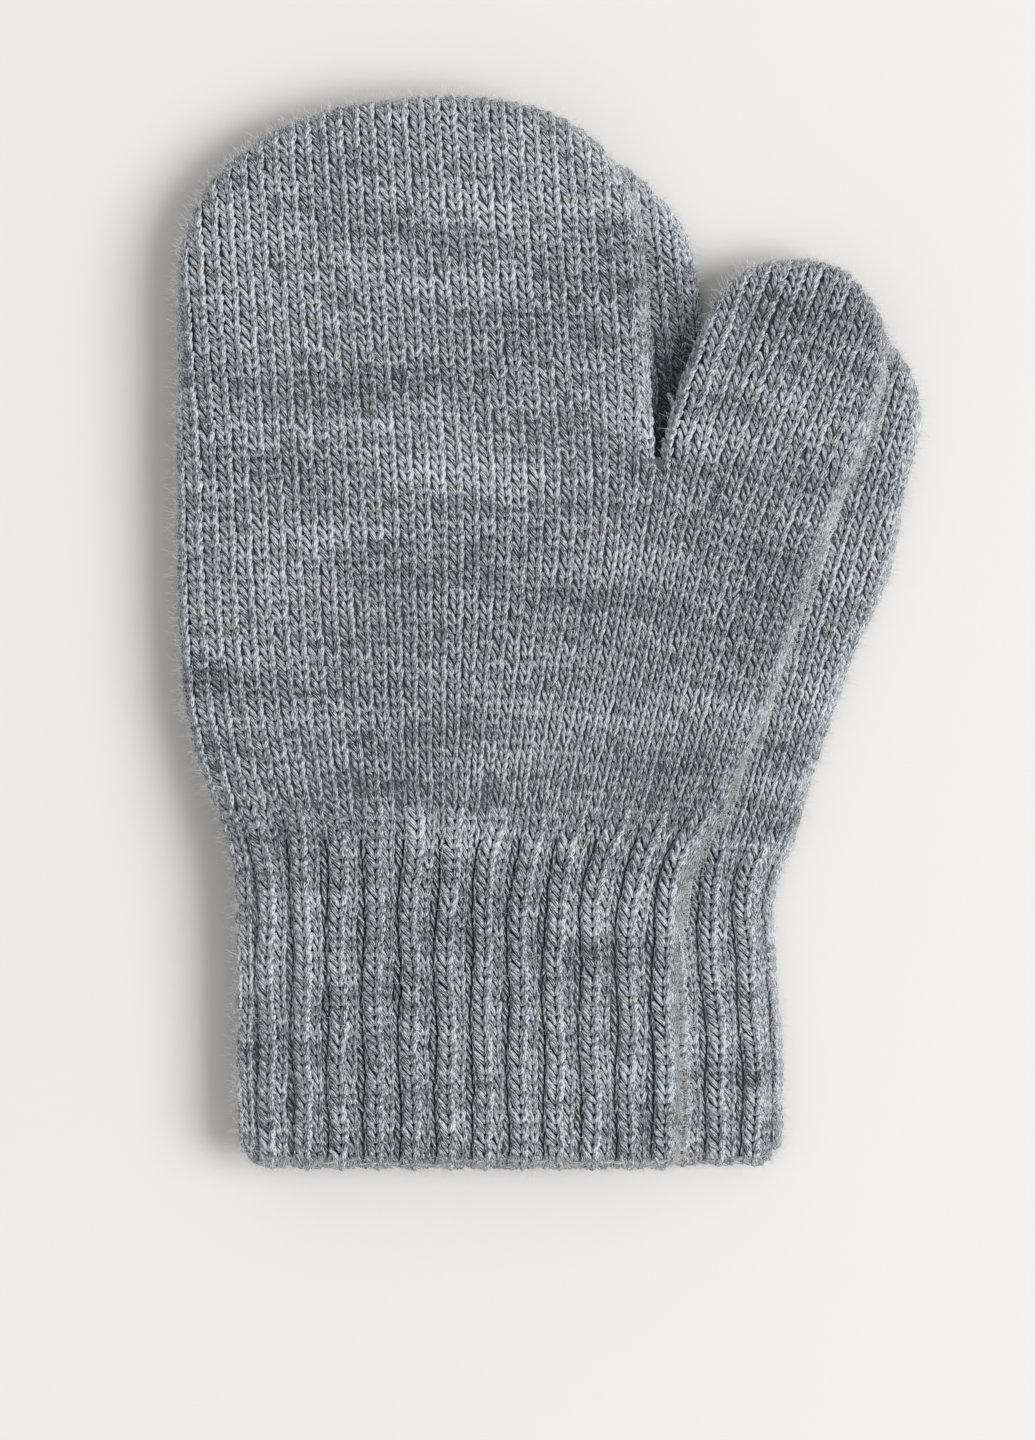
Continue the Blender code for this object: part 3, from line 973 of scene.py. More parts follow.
@dataclass(frozen=True)
class MarledYarn:
    """Wool yarn spun from dark and light grey fibres, as colours in linear light.

    Streaks and flecks are two noises round and along the yarn, the flecks finer. Grain is the
    yarn's own random number, which sets each stitch's noise apart.
    """

    name: str = "marled_yarn"
    dark: Triple = (0.042, 0.047, 0.056)
    middle: Triple = (0.272, 0.296, 0.325)
    light: Triple = (0.730, 0.757, 0.800)
    cool_tint: Triple = (0.91, 0.955, 1.00)
    plain_tint: Triple = (0.95, 0.95, 0.95)
    warm_tint: Triple = (0.98, 0.945, 0.885)
    tone_places: Triple = (0.39, 0.49, 0.59)
    tint_places: Triple = (0.36, 0.50, 0.66)
    twist: float = 1.1
    streaks: float = 1.9
    streak_length: float = 1.5
    streak_grain: Triple = (7.3, 3.1, 11.7)
    streak_share: float = 0.56
    flecks: float = 2.8
    fleck_twist: float = 2.0
    fleck_length: float = 5.0
    fleck_grain: Triple = (5.0, 1.0, 9.0)
    hue_grain: Point = (53.0, 37.0)
    hue_length: float = 2.0
    marl: float = 0.018
    bump: float = 0.7
    bump_streak_share: float = 0.6
    bump_height: float = 0.00018

    def build(self) -> bpy.types.Material:
        """Makes the material, which reads what the stitches carry.

        Returns:
            The material.
        """
        finish = Finish(self.name)
        ring_x, ring_y, _ = finish.split(finish.carried("ring", "Vector"))
        along, grain, tone = (finish.carried(name) for name in ("along", "grain", "tone"))
        twist = along * self.twist
        place = finish.vector(
            ring_x * self.streaks + twist + grain * self.streak_grain[0],
            ring_y * self.streaks + grain * self.streak_grain[1],
            along * self.streak_length + grain * self.streak_grain[2],
        )
        streak = finish.noise(place, roughness=0.65)
        place = finish.vector(
            ring_x * self.flecks + twist * self.fleck_twist + grain * self.fleck_grain[0],
            ring_y * self.flecks + grain * self.fleck_grain[1],
            along * self.fleck_length + grain * self.fleck_grain[2],
        )
        fleck = finish.noise(place, detail=1.0)
        # The marl's tone with the painted highlight and shade that each stitch carries
        mixed = streak * self.streak_share + fleck * (1.0 - self.streak_share) + tone * self.marl
        tones = finish.ramp(mixed, tuple(zip(self.tone_places, (self.dark, self.middle, self.light))))
        place = finish.vector(
            grain * self.hue_grain[0], grain * self.hue_grain[1], along * self.hue_length
        )
        tints = (self.cool_tint, self.plain_tint, self.warm_tint)
        tint = finish.ramp(finish.noise(place), tuple(zip(self.tint_places, tints)))
        settings = {"data_type": "RGBA", "blend_type": "MULTIPLY"}
        sockets = {"Factor": 1.0, "A": tones, "B": tint}
        colour = finish.add("ShaderNodeMix", settings, sockets, "Result")
        height = streak * self.bump_streak_share + fleck * (1.0 - self.bump_streak_share)
        finish.bumped(height, self.bump, self.bump_height)
        return finish.wool(colour)


@dataclass(frozen=True)
class PaintedShadeBacking:
    """The heathered backing behind the stitches, the back loops of the same yarn painted far darker
    than it: painted shade in the gaps between the stitches.
    """

    name: str = "backing_wool"
    # Much darker than the yarn's own colours: painted shade for the gaps
    dark: Triple = (0.045, 0.050, 0.060)
    light: Triple = (0.135, 0.145, 0.165)
    places: Point = (0.35, 0.68)
    loops: float = 900.0
    bump: float = 0.8
    bump_height: float = 0.0002

    def build(self) -> bpy.types.Material:
        """Makes the material from noise in the object's own space.

        Returns:
            The material.
        """
        finish = Finish(self.name)
        place = finish.add("ShaderNodeTexCoord", output="Object")
        loops = finish.noise(place, self.loops, detail=3.0, roughness=0.7)
        finish.bumped(loops, self.bump, self.bump_height)
        return finish.wool(finish.ramp(loops, tuple(zip(self.places, (self.dark, self.light)))))


@dataclass(frozen=True)
class LooseFibre:
    """Pale fibres that stand off the yarn, partly their own pale wool and partly painted light: paler
    than the yarn towards their tips, so that they read as lit where they stand in shade.
    """

    name: str = "loose_fibre"
    # Tips paler than the yarn's lightest fibres: partly painted light
    root: Triple = (0.58, 0.57, 0.565)
    tip: Triple = (0.90, 0.88, 0.86)

    def build(self) -> bpy.types.Material:
        """Makes the material, paler towards each fibre's tip.

        Returns:
            The material.
        """
        finish = Finish(self.name)
        return finish.wool(finish.ramp(finish.carried("along"), ((0.0, self.root), (1.0, self.tip))))


class Region(Enum):
    """The runs of knitting that a face is made of."""

    FINGERS = "fingers"
    THUMB = "thumb"
    PALM = "palm"
    RIB = "rib"


# First and last wale that a region may reach, counted from the crotch
WALES = {Region.PALM: (-33, 16), Region.FINGERS: (-33, 2), Region.THUMB: (-4, 16)}

# The fingers and the thumb meet this far right of the line that parts them
PARTING = 0.3


@dataclass(frozen=True)
class RibWale:
    """One wale of a rib: its place in the rib while loose, and what drawing the rib in gives it.

    Places and width are shares of the rib. The tilt is in degrees, the drop in mm.
    """

    loose: float
    drawn: float
    tilt: float
    drop: float
    broad: float


RIB_WALES = (
    RibWale(loose=0.30, drawn=0.42, tilt=-6.0, drop=0.0, broad=0.53),
    RibWale(loose=0.63, drawn=0.80, tilt=32.0, drop=0.27, broad=0.36),
    RibWale(loose=0.97, drawn=1.06, tilt=0.0, drop=0.56, broad=0.36),
)
RIB_COLUMNS = ("loose", "drawn", "tilt", "drop", "broad")

# Share that the ribs are drawn in by, at heights over the hem
DRAWN_HEIGHTS = (0.0, 1.9, 4.7, 33.0, 41.0, 46.0, 50.5)
DRAWN_SHARES = (0.50, 0.80, 1.0, 1.0, 0.97, 0.86, 0.60)

# How the ribs sway, in mm, with turns in radians a course and a rib
SWAY = 0.21
SWAY_A_COURSE = 0.43
SWAY_A_RIB = 2.4
SWAY_GROWS = 10.0

# Stitches that lie deeper than this can't be seen
BURIED_DROP = 0.45

# The valleys of the rib run on into the palm's first rows
FURROW_COURSES = 9.0
FURROW_DROP = 0.40
FURROW_BREADTH = 0.17


@dataclass
class Lattice:
    """Stitches of one region before they are wrapped.

    A rib's stitches also have a tilt in degrees, a drop in mm and a share of the rib's width.
    """

    region: Region
    wale: Array
    course: Array
    tilt: Array | float = 0.0
    drop: Array | float = 0.0
    broad: Array | float = 1.0


class Marl:
    """How light the yarn runs over one face: streaks along the courses, and wider patches.

    Each layer is a reach across the wales, a reach across the courses and a weight.
    """

    LAYERS = ((2.4, 0.85, 0.80), (6.0, 2.2, 0.45))
    SPECKLE = 0.45
    COLUMNS = 60
    LOWEST_COURSE = -80
    HIGHEST_COURSE = 48
    RIM = 1.001
    TAIL = 3

    def __init__(self, seed: int) -> None:
        """Draws the field.

        Args:
            seed: Seed of its random numbers.
        """
        self.rng = np.random.default_rng(seed)
        rows = self.HIGHEST_COURSE - self.LOWEST_COURSE
        self.grid = np.zeros((rows, self.COLUMNS))
        for along, across, weight in self.LAYERS:
            noise = self.rng.normal(size=self.grid.shape)
            noise = self._blurred(self._blurred(noise, along, 1), across, 0)
            self.grid += weight * noise / noise.std()

    def at(self, x: Array, course: Array) -> Array:
        """Reads the field.

        Args:
            x: Distance across the mitten, in mm.
            course: Courses counted from the crotch, negative below it.

        Returns:
            Tones about 0, most within 1, with a speckle from stitch to stitch.
        """
        rows, columns = self.grid.shape
        column = np.clip(x / WALE + columns / 2, 0.0, columns - self.RIM)
        row = np.clip(course - self.LOWEST_COURSE, 0.0, rows - self.RIM)
        left, low = column.astype(int), row.astype(int)
        aside, above = column - left, row - low
        bottom = self.grid[low, left] * (1 - aside) + self.grid[low, left + 1] * aside
        top = self.grid[low + 1, left] * (1 - aside) + self.grid[low + 1, left + 1] * aside
        return bottom * (1 - above) + top * above + self.SPECKLE * self.rng.normal(size=len(x))

    @classmethod
    def _blurred(cls, grid: Array, reach: float, axis: int) -> Array:
        """Makes a grid smooth along one axis.

        Args:
            grid: The grid.
            reach: How far the blur reaches, in cells.
            axis: The axis.

        Returns:
            The smooth grid.
        """
        span = np.arange(-int(cls.TAIL * reach), int(cls.TAIL * reach) + 1)
        weights = np.exp(-((span / reach) ** 2) / 2)
        weights /= weights.sum()
        return np.apply_along_axis(lambda line: np.convolve(line, weights, "same"), axis, grid)


@dataclass(frozen=True)
class Shade:
    """What a stitch's place on its mitten adds to its tone: painted highlight and shade, and plain
    offsets.

    The folds get a painted highlight, partly their pale felted fuzz, strongest right of the crotch on
    the side the light comes from. Deep stitches in the valleys get painted shade. The upper mitten is
    darker to the right and on the lower hand, the lower one paler all over. Every slope is a place
    where it starts and a length that it takes, in mm but for the fold's, which are shares of the way
    round it. The painted crotch shade is the painted shadow of the upper crotch on the lower mitten:
    its place over the crotch, its lean and its two reaches.
    """

    # Painted highlight on the folds, partly their pale fuzz, and more of it right of the crotch, on
    # the side the light comes from
    fold: float = 0.6
    fold_slope: Point = (0.3, 0.5)
    thumb_fold: float = 0.9
    thumb_slope: Point = (8.0, 10.0)
    # Painted shade in the valleys: darker the deeper a stitch lies
    valley: float = -2.5
    rib: float = 0.1
    rib_fade: float = 6.0
    upper: float = -0.5
    upper_slope_x: Point = (-5.0, 25.0)
    upper_slope_y: Point = (92.0, 15.0)
    lower: float = 1.0
    # Painted shade that the upper crotch casts on the lower mitten
    pool: float = -5.5
    pool_place: Point = (1.5, 8.0)
    pool_lean: float = 1.5
    pool_reach: Point = (4.5, 11.0)

    def at(self, form: MittenForm, flat: Array, round_fold: Array, drop: Array) -> Array:
        """Painted highlight on the folds, partly pale fuzz, painted shade in the valleys, and painted
        shade of the upper crotch on the mitten below.

        Args:
            form: The mitten's form.
            flat: Flat places.
            round_fold: How far round the fold each is.
            drop: How deep each lies, in mm.

        Returns:
            The tones.
        """
        x, y = flat[:, 0], flat[:, 1]
        folded = self._rise(round_fold, self.fold_slope)
        outer = self._rise(x - form.flow.crotch[0], self.thumb_slope)
        ribbed = 1.0 - smooth_step((y - RIB_ENDS_Y) / self.rib_fade)
        # Painted highlight on the folds and painted shade in the valleys
        found = folded * (self.fold + self.thumb_fold * outer) + self.valley * drop + ribbed * self.rib
        if form is UPPER_FORM:
            start, reach = self.upper_slope_y
            darker = np.maximum(self._rise(x, self.upper_slope_x), smooth_step((start - y) / reach))
            return found + self.upper * darker * (y > RIB_ENDS_Y)
        # Painted shade of the upper crotch on the lower mitten
        crotch = UPPER_FORM.flow.crotch
        up = (y - crotch[1] - self.pool_place[1]) / self.pool_reach[1]
        across = (x - crotch[0] - self.pool_place[0] - self.pool_lean * up) / self.pool_reach[0]
        return found + self.lower + self.pool * np.exp(-(across**2) - up**2)

    @staticmethod
    def _rise(place: Array, slope: Point) -> Array:
        """Eases from 0 to 1 over a slope."""
        return smooth_step((place - slope[0]) / slope[1])


@dataclass(frozen=True)
class HemChain:
    """The chain of cast-on stitches: its stitches' size, place and unevenness, in mm."""

    size: Triple = (2.0, 1.5, 1.5)
    surface_y: float = 2.0
    y: float = 0.95
    y_wobble: float = 0.22
    into_wall: float = 0.1
    tilt: float = 0.35
    tilt_wobble: float = 0.30
    lean_wobble: float = 0.25


@dataclass
class KnitFace:
    """The stitches of one face of a mitten, wrapped round its form.

    Lifts and wobbles are in mm, or shares of a stitch.
    """

    form: MittenForm
    face: Face
    shift: Array
    seed: int
    lift: float = -0.28
    resting_lift: float = -0.62
    round_limits: Point = (1.03, 0.93)
    lowest_rows: Point = (-0.9, 0.4)
    width_wobble: float = 0.05
    lift_wobble: float = 0.05
    side_wobble: float = 0.07
    lean_wobble: float = 0.08
    seen_under_edge: float = 0.5
    chain: HemChain = HemChain()
    shade: Shade = Shade()

    @property
    def rests(self) -> bool:
        """If this is the face that the mitten lies on."""
        return self.face is Face.BOTTOM

    def stitches(self, part: str) -> dict[str, Array]:
        """Every stitch of one part of the mitten.

        Args:
            part: The part: cuff, palm, fingers or thumb.

        Returns:
            Arrays of what each stitch carries, by name.
        """
        marl = Marl(self.seed)
        found = [self._wrapped(self._lattice(part), marl)]
        if part == "cuff":
            found.append(self._hem_chain(marl))
        return {name: np.concatenate([group[name] for group in found]) for name in found[0]}

    def _lattice(self, part: str) -> Lattice:
        """Lays out the stitches of one part.

        Args:
            part: The part.

        Returns:
            Its lattice.
        """
        if part == "cuff":
            return self._rib()
        region = Region(part)
        rows = (-PALM_COURSES, 0) if region is Region.PALM else (0, POUCH_COURSES)
        wale, course = np.meshgrid(np.arange(*WALES[region]) + 0.5, np.arange(*rows) + 0.5)
        return Lattice(region, wale.ravel(), course.ravel())

    @staticmethod
    def _rib() -> Lattice:
        """Lays out the cuff's ribs, drawn in but for the hem and the top, where they let go.

        Returns:
            The cuff's lattice.
        """
        ribs, kinds = np.arange(-1, RIBS_A_FACE + 1), np.arange(len(RIB_WALES))
        grid = np.meshgrid(ribs, np.arange(-1, CUFF_COURSES) + 0.5, kinds)
        rib, course, kind = (axis.ravel() for axis in grid)
        drawn = np.interp(course * COURSE, DRAWN_HEIGHTS, DRAWN_SHARES)
        loose, gathered, tilt, drop, broad = (
            np.array([getattr(wale, name) for wale in RIB_WALES])[kind] for name in RIB_COLUMNS
        )
        even = 1 / len(RIB_WALES)
        return Lattice(
            Region.RIB,
            rib + loose + (gathered - loose) * drawn,
            course,
            tilt=tilt * drawn,
            drop=drop * drawn,
            broad=even + (broad - even) * drawn,
        )

    def _flat(self, lattice: Lattice, wale_step: float = 0.0, course_step: float = 0.0) -> Array:
        """Places a lattice, moved by a part of a wale or course.

        Args:
            lattice: The lattice.
            wale_step: Wales to move it by.
            course_step: Courses to move it by.

        Returns:
            Flat places.
        """
        wale, course = lattice.wale + wale_step, lattice.course + course_step
        flow = self.form.flow
        if lattice.region is Region.RIB:
            return self._cuff_place(wale, course)
        if lattice.region is Region.PALM:
            return flow.palm(wale, course)
        lean = flow.finger_lean if lattice.region is Region.FINGERS else flow.thumb_lean
        return flow.above(wale, course, lean)

    def _cuff_place(self, rib: Array, course: Array) -> Array:
        """Places the cuff's lattice.

        Args:
            rib: Ribs from the left fold.
            course: Courses from the hem.

        Returns:
            Flat places.
        """
        y = course * (self.form.flow.cuff_left[1] / PALM_COURSES)
        left, right = self.form.outline.sides(np.maximum(y, HEM_TAPER_REACH))
        spare = self._spare()
        round_width = CUFF_WIDTH + 2 * spare
        share = ((rib - 1.0) / RIBS_A_FACE) + self.form.rib_phase / round_width
        turn = SWAY_A_COURSE * course + SWAY_A_RIB * np.floor(rib)
        sway = SWAY * np.sin(turn) * np.clip(y / SWAY_GROWS, 0.0, 1.0)
        return np.column_stack([left - spare + share * (right - left + 2 * spare) + sway, y])

    @staticmethod
    def _spare() -> float:
        """How much wider than the outline the cuff's cloth is on each side, for its way round."""
        return math.pi / 2 * math.hypot(FOLD_REACH, CUFF_THICK / 2) / math.sqrt(2) - FOLD_REACH

    def _kept(self, lattice: Lattice, flat: Array, round_fold: Array) -> Array:
        """Picks the stitches that lie on this face, in their own region and not in a valley.

        Args:
            lattice: The lattice.
            flat: Flat places.
            round_fold: How far round the fold each is.

        Returns:
            If each is kept.
        """
        keep = round_fold < self.round_limits[self.rests]
        keep = keep & (flat[:, 1] > self.lowest_rows[self.rests])
        if lattice.region is Region.RIB:
            return keep & ((not self.rests) | (lattice.drop < BURIED_DROP))
        if lattice.region is Region.PALM:
            return keep
        away = self.form.flow.right_of_crotch(flat)
        return keep & (away < PARTING if lattice.region is Region.FINGERS else away > PARTING)

    def _wrapped(self, lattice: Lattice, marl: Marl) -> dict[str, Array]:
        """Wraps a lattice round the form and works out how each stitch stands.

        Args:
            lattice: The lattice.
            marl: The face's field of tones, whose random numbers go on.

        Returns:
            Arrays of what each stitch carries, by name.
        """
        count = len(lattice.wale)
        flat = self._flat(lattice)
        spot, round_fold = self.form.rounded(flat, self.face)
        keep = self._kept(lattice, flat, round_fold)
        drop = self._furrow(lattice) + lattice.drop
        ahead, behind, right, left = (
            self.form.rounded(self._flat(lattice, *steps), self.face)[0]
            for steps in ((0.0, NUDGE), (0.0, -NUDGE), (NUDGE, 0.0), (-NUDGE, 0.0))
        )
        up, across = (ahead - behind) / (2 * NUDGE), (right - left) / (2 * NUDGE)
        facing = self.face.value * unit(np.cross(across, up))
        side, turn = unit(across), np.radians(np.zeros(count) + lattice.tilt)[:, None]
        spot = spot - facing * drop[:, None]
        facing = unit(facing * np.cos(turn) + side * np.sin(turn))

        wobble = marl.rng.normal(size=(count, 4))
        width = np.clip(np.linalg.norm(across, axis=1) * lattice.broad, *STITCH_WIDTHS)
        width = width * (1.0 + self.width_wobble * wobble[:, 0])
        height = np.clip(np.linalg.norm(up, axis=1), *STITCH_HEIGHTS)
        lift = self.resting_lift if self.rests else self.lift
        spot = spot + facing * (lift + (0.0 if self.rests else self.lift_wobble) * wobble[:, 1:2])
        spot = spot + side * self.side_wobble * wobble[:, 2:3]
        from_crotch = lattice.course - (PALM_COURSES if lattice.region is Region.RIB else 0)
        # Painted highlight and shade, added to the marl's tone
        shade = self.shade.at(self.form, flat, round_fold, drop)
        found = {
            "spot": (spot + self.shift) * MM,
            "facing": facing,
            "wale_way": unit(unit(up) + self.lean_wobble * wobble[:, 3:4] * side),
            "stretch": np.column_stack([width, height, np.full_like(width, STITCH_DEPTH)]) * MM,
            "tone": marl.at(flat[:, 0], from_crotch) + shade,
            "grain": marl.rng.random(count),
            "fine": self._shows(spot) & (drop < BURIED_DROP),
        }
        return {name: values[keep] for name, values in found.items()}

    def _furrow(self, lattice: Lattice) -> Array:
        """Sinks the palm's first rows where the rib's valleys run on into them.

        Args:
            lattice: The lattice.

        Returns:
            How far each stitch drops, in mm.
        """
        count = len(lattice.wale)
        if lattice.region is not Region.PALM:
            return np.zeros(count)
        foot = self.form.flow.palm(lattice.wale, np.full(count, -float(PALM_COURSES)))
        left, right = self.form.outline.sides(foot[:, 1])
        spare = self._spare()
        share = (foot[:, 0] - left + spare) / (right - left + 2 * spare)
        rib = 1.0 + RIBS_A_FACE * (share - self.form.rib_phase / (CUFF_WIDTH + 2 * spare))
        beside = np.abs((rib - RIB_WALES[-1].drawn + 0.5) % 1.0 - 0.5)
        fade = np.clip(1.0 - (lattice.course + PALM_COURSES) / FURROW_COURSES, 0.0, 1.0)
        return FURROW_DROP * fade * np.exp(-((beside / FURROW_BREADTH) ** 2))

    def _hem_chain(self, marl: Marl) -> dict[str, Array]:
        """Lays the chain of cast-on stitches along the rim of this face's wall.

        Args:
            marl: The face's field of tones, whose random numbers go on.

        Returns:
            Arrays of what each stitch carries, by name.
        """
        chain = self.chain
        pitch = chain.size[1]
        left, right = self.form.outline.hem_ends()
        x = np.arange(left + pitch / 2, right, pitch)
        count = len(x)
        along_hem = np.column_stack([x, np.full(count, chain.surface_y)])
        surface, _ = self.form.rounded(along_hem, self.face)
        depth = self.face.value * (RIB_WALL / 2 - chain.into_wall)
        wobble = marl.rng.normal(size=(count, 3))
        y = chain.y + chain.y_wobble * wobble[:, 0]
        spot = np.column_stack([x, y, surface[:, 2] - depth])
        tilt = chain.tilt_wobble * wobble[:, 1] + chain.tilt * self.face.value
        lean = chain.lean_wobble * wobble[:, 2]
        return {
            "spot": (spot + self.shift) * MM,
            "facing": unit(np.column_stack([np.zeros(count), -np.ones(count), tilt])),
            "wale_way": unit(np.column_stack([np.ones(count), lean, np.zeros(count)])),
            "stretch": np.tile(chain.size, (count, 1)) * MM,
            "tone": marl.at(x, np.full(count, -2.0 * PALM_COURSES)),
            "grain": marl.rng.random(count),
            "fine": self._shows(spot),
        }

    def _shows(self, spot: Array) -> Array:
        """Picks the stitches that can be seen from above, and so are made fine.

        Args:
            spot: Places.

        Returns:
            If each is seen.
        """
        if self.rests:
            return np.zeros(len(spot), bool)
        if self.form is UPPER_FORM:
            return np.ones(len(spot), bool)
        covered, _ = UPPER_FORM.outline.depth(spot[:, :2])
        return covered < self.seen_under_edge


@dataclass(frozen=True)
class Fuzz:
    """The loose fibres of one mitten: how many stand along its edge, its hem and over its face.

    Lengths and places are in mm. The crotch and the edge that another mitten covers get fewer.
    Every spread and way is a part across, a part up the hand and a part up from the floor.
    """

    edge_count: int
    hem_count: int
    face_count: int
    shortest: float = 0.7
    longer: float = 1.7
    lowest: float = 1.5
    rise_below: float = 3.0
    right_weight: float = 1.5
    crotch_share: float = 0.96
    crotch_reach: float = 24.0
    covered_depth: float = 1.0
    covered_weight: float = 0.04
    edge_depth: Point = (-0.1, 0.8)
    edge_spread: float = 0.45
    round_end: float = 1.2
    hem_y: Point = (0.3, 2.0)
    hem_spread: Triple = (0.6, 0.4, 0.3)
    hem_way: Triple = (0.0, -1.0, 0.2)
    face_tries: int = 3
    face_depth: float = 2.0
    face_spread: Triple = (1.0, 1.0, 0.2)
    face_way: Triple = (0.0, 0.0, 0.25)

    def fibres(self, form: MittenForm, shift: Array, seed: int) -> dict[str, Array]:
        """Fibres that stand off the folds, the hem and the upper face.

        Args:
            form: The mitten's form.
            shift: Place of the drawing's origin in the frame, in mm.
            seed: Seed of the random numbers.

        Returns:
            Arrays of what each fibre carries, by name.
        """
        rng = np.random.default_rng(seed)
        line = form.outline.closed_line()[:-2]
        groups = (
            self._along_edge(rng, form, line),
            self._along_hem(rng, form),
            self._over_face(rng, form, line),
        )
        spots, ways = (np.vstack([group[index] for group in groups]) for index in (0, 1))
        spots[:, 2] = np.maximum(spots[:, 2], self.lowest)
        ways[:, 2] = np.where(spots[:, 2] < self.rise_below, np.abs(ways[:, 2]), ways[:, 2])
        count = len(spots)
        length = (self.shortest + self.longer * rng.random(count) ** 2.0) * MM
        return {
            "spot": (spots + shift) * MM,
            "fibre_way": ways,
            "side_way": unit(np.cross(ways, rng.normal(size=(count, 3)))),
            "stretch": np.column_stack([length, length, length]),
        }

    def _along_edge(
        self, rng: np.random.Generator, form: MittenForm, line: Array
    ) -> tuple[Array, Array]:
        """Sets the fibres round the folds.

        Args:
            rng: Source of random numbers.
            form: The mitten's form.
            line: The mitten's edge.

        Returns:
            Places and directions.
        """
        start, edge = line[:-1], line[1:] - line[:-1]
        right = start[:, 0] > form.flow.crotch[0]
        weight = np.linalg.norm(edge, axis=1) * np.where(right, self.right_weight, 1.0)
        from_crotch = np.linalg.norm(start - np.array(form.flow.crotch), axis=1)
        weight *= 1.0 - self.crotch_share * np.exp(-((from_crotch / self.crotch_reach) ** 4))
        if form is LOWER_FORM:
            covered, _ = UPPER_FORM.outline.depth(start)
            weight *= np.where(covered > self.covered_depth, self.covered_weight, 1.0)
        low = rng.choice(len(start), size=self.edge_count, p=weight / weight.sum())
        flat = start[low] + rng.random((len(low), 1)) * edge[low]
        depth = rng.normal(*self.edge_depth, len(flat))
        inward = unit(np.column_stack([edge[low, 1], -edge[low, 0]]))
        flat = flat + inward * depth[:, None]
        spots, share = form.rounded(flat, Face.TOP)
        angle = np.minimum(share, self.round_end) * math.pi / 2
        out = np.column_stack([-inward * np.sin(angle)[:, None], np.cos(angle)])
        return spots, unit(out + self.edge_spread * rng.normal(size=(len(flat), 3)))

    def _along_hem(self, rng: np.random.Generator, form: MittenForm) -> tuple[Array, Array]:
        """Sets the fibres that hang off the hem.

        Args:
            rng: Source of random numbers.
            form: The mitten's form.

        Returns:
            Places and directions.
        """
        x = rng.uniform(*form.outline.hem_ends(), self.hem_count)
        flat = np.column_stack([x, rng.uniform(*self.hem_y, self.hem_count)])
        spots, _ = form.rounded(flat, Face.TOP)
        return spots, unit(rng.normal(size=(len(flat), 3)) * self.hem_spread + self.hem_way)

    def _over_face(
        self, rng: np.random.Generator, form: MittenForm, line: Array
    ) -> tuple[Array, Array]:
        """Sets the fibres that lie on the upper face.

        Args:
            rng: Source of random numbers.
            form: The mitten's form.
            line: The mitten's edge.

        Returns:
            Places and directions.
        """
        low, high = line.min(axis=0), line.max(axis=0)
        flat = rng.uniform(low, high, size=(self.face_tries * self.face_count, 2))
        depth, _ = form.outline.depth(flat)
        flat = flat[depth > self.face_depth][: self.face_count]
        spots, _ = form.rounded(flat, Face.TOP)
        return spots, unit(rng.normal(size=(len(flat), 3)) * self.face_spread + self.face_way)


def point_mesh(name: str, values: Mapping[str, Array]) -> bpy.types.Mesh:
    """A mesh of loose points with attributes.

    Args:
        name: The mesh's name.
        values: Arrays by name. The points' places are under spot.

    Returns:
        The mesh.
    """
    mesh = bpy.data.meshes.new(name)
    mesh.vertices.add(len(values["spot"]))
    mesh.vertices.foreach_set("co", values["spot"].astype(np.float32).ravel())
    for key, array in values.items():
        if key == "spot":
            continue
        if array.dtype == bool:
            mesh.attributes.new(key, "BOOLEAN", "POINT").data.foreach_set("value", array)
        elif array.ndim == 2:
            layer = mesh.attributes.new(key, "FLOAT_VECTOR", "POINT")
            layer.data.foreach_set("vector", array.astype(np.float32).ravel())
        else:
            layer = mesh.attributes.new(key, "FLOAT", "POINT")
            layer.data.foreach_set("value", array.astype(np.float32))
    return mesh


class Cut(Enum):
    """The parts of a mitten, with the flat cut of each all round: width, length and area share."""

    CUFF = ("cuff", 0.1254, 0.0505, 1.0)
    PALM = ("palm", 0.1740, 0.0500, 0.92)
    FINGERS = ("fingers", 0.1340, 0.0505, 0.88)
    THUMB = ("thumb", 0.0540, 0.0330, 0.85)

    @property
    def part(self) -> str:
        """The part's name."""
        return self.value[0]

    @property
    def slot(self) -> str:
        """The record's material slot of the part."""
        return "rib_knit" if self is Cut.CUFF else "plain_knit"

    @property
    def flat(self) -> tuple[float, float]:
        """Width and length of the flat cut, in metres."""
        return self.value[1], self.value[2]

    @property
    def area(self) -> float:
        """Flat area of the cut, in square metres."""
        return self.value[1] * self.value[2] * self.value[3]


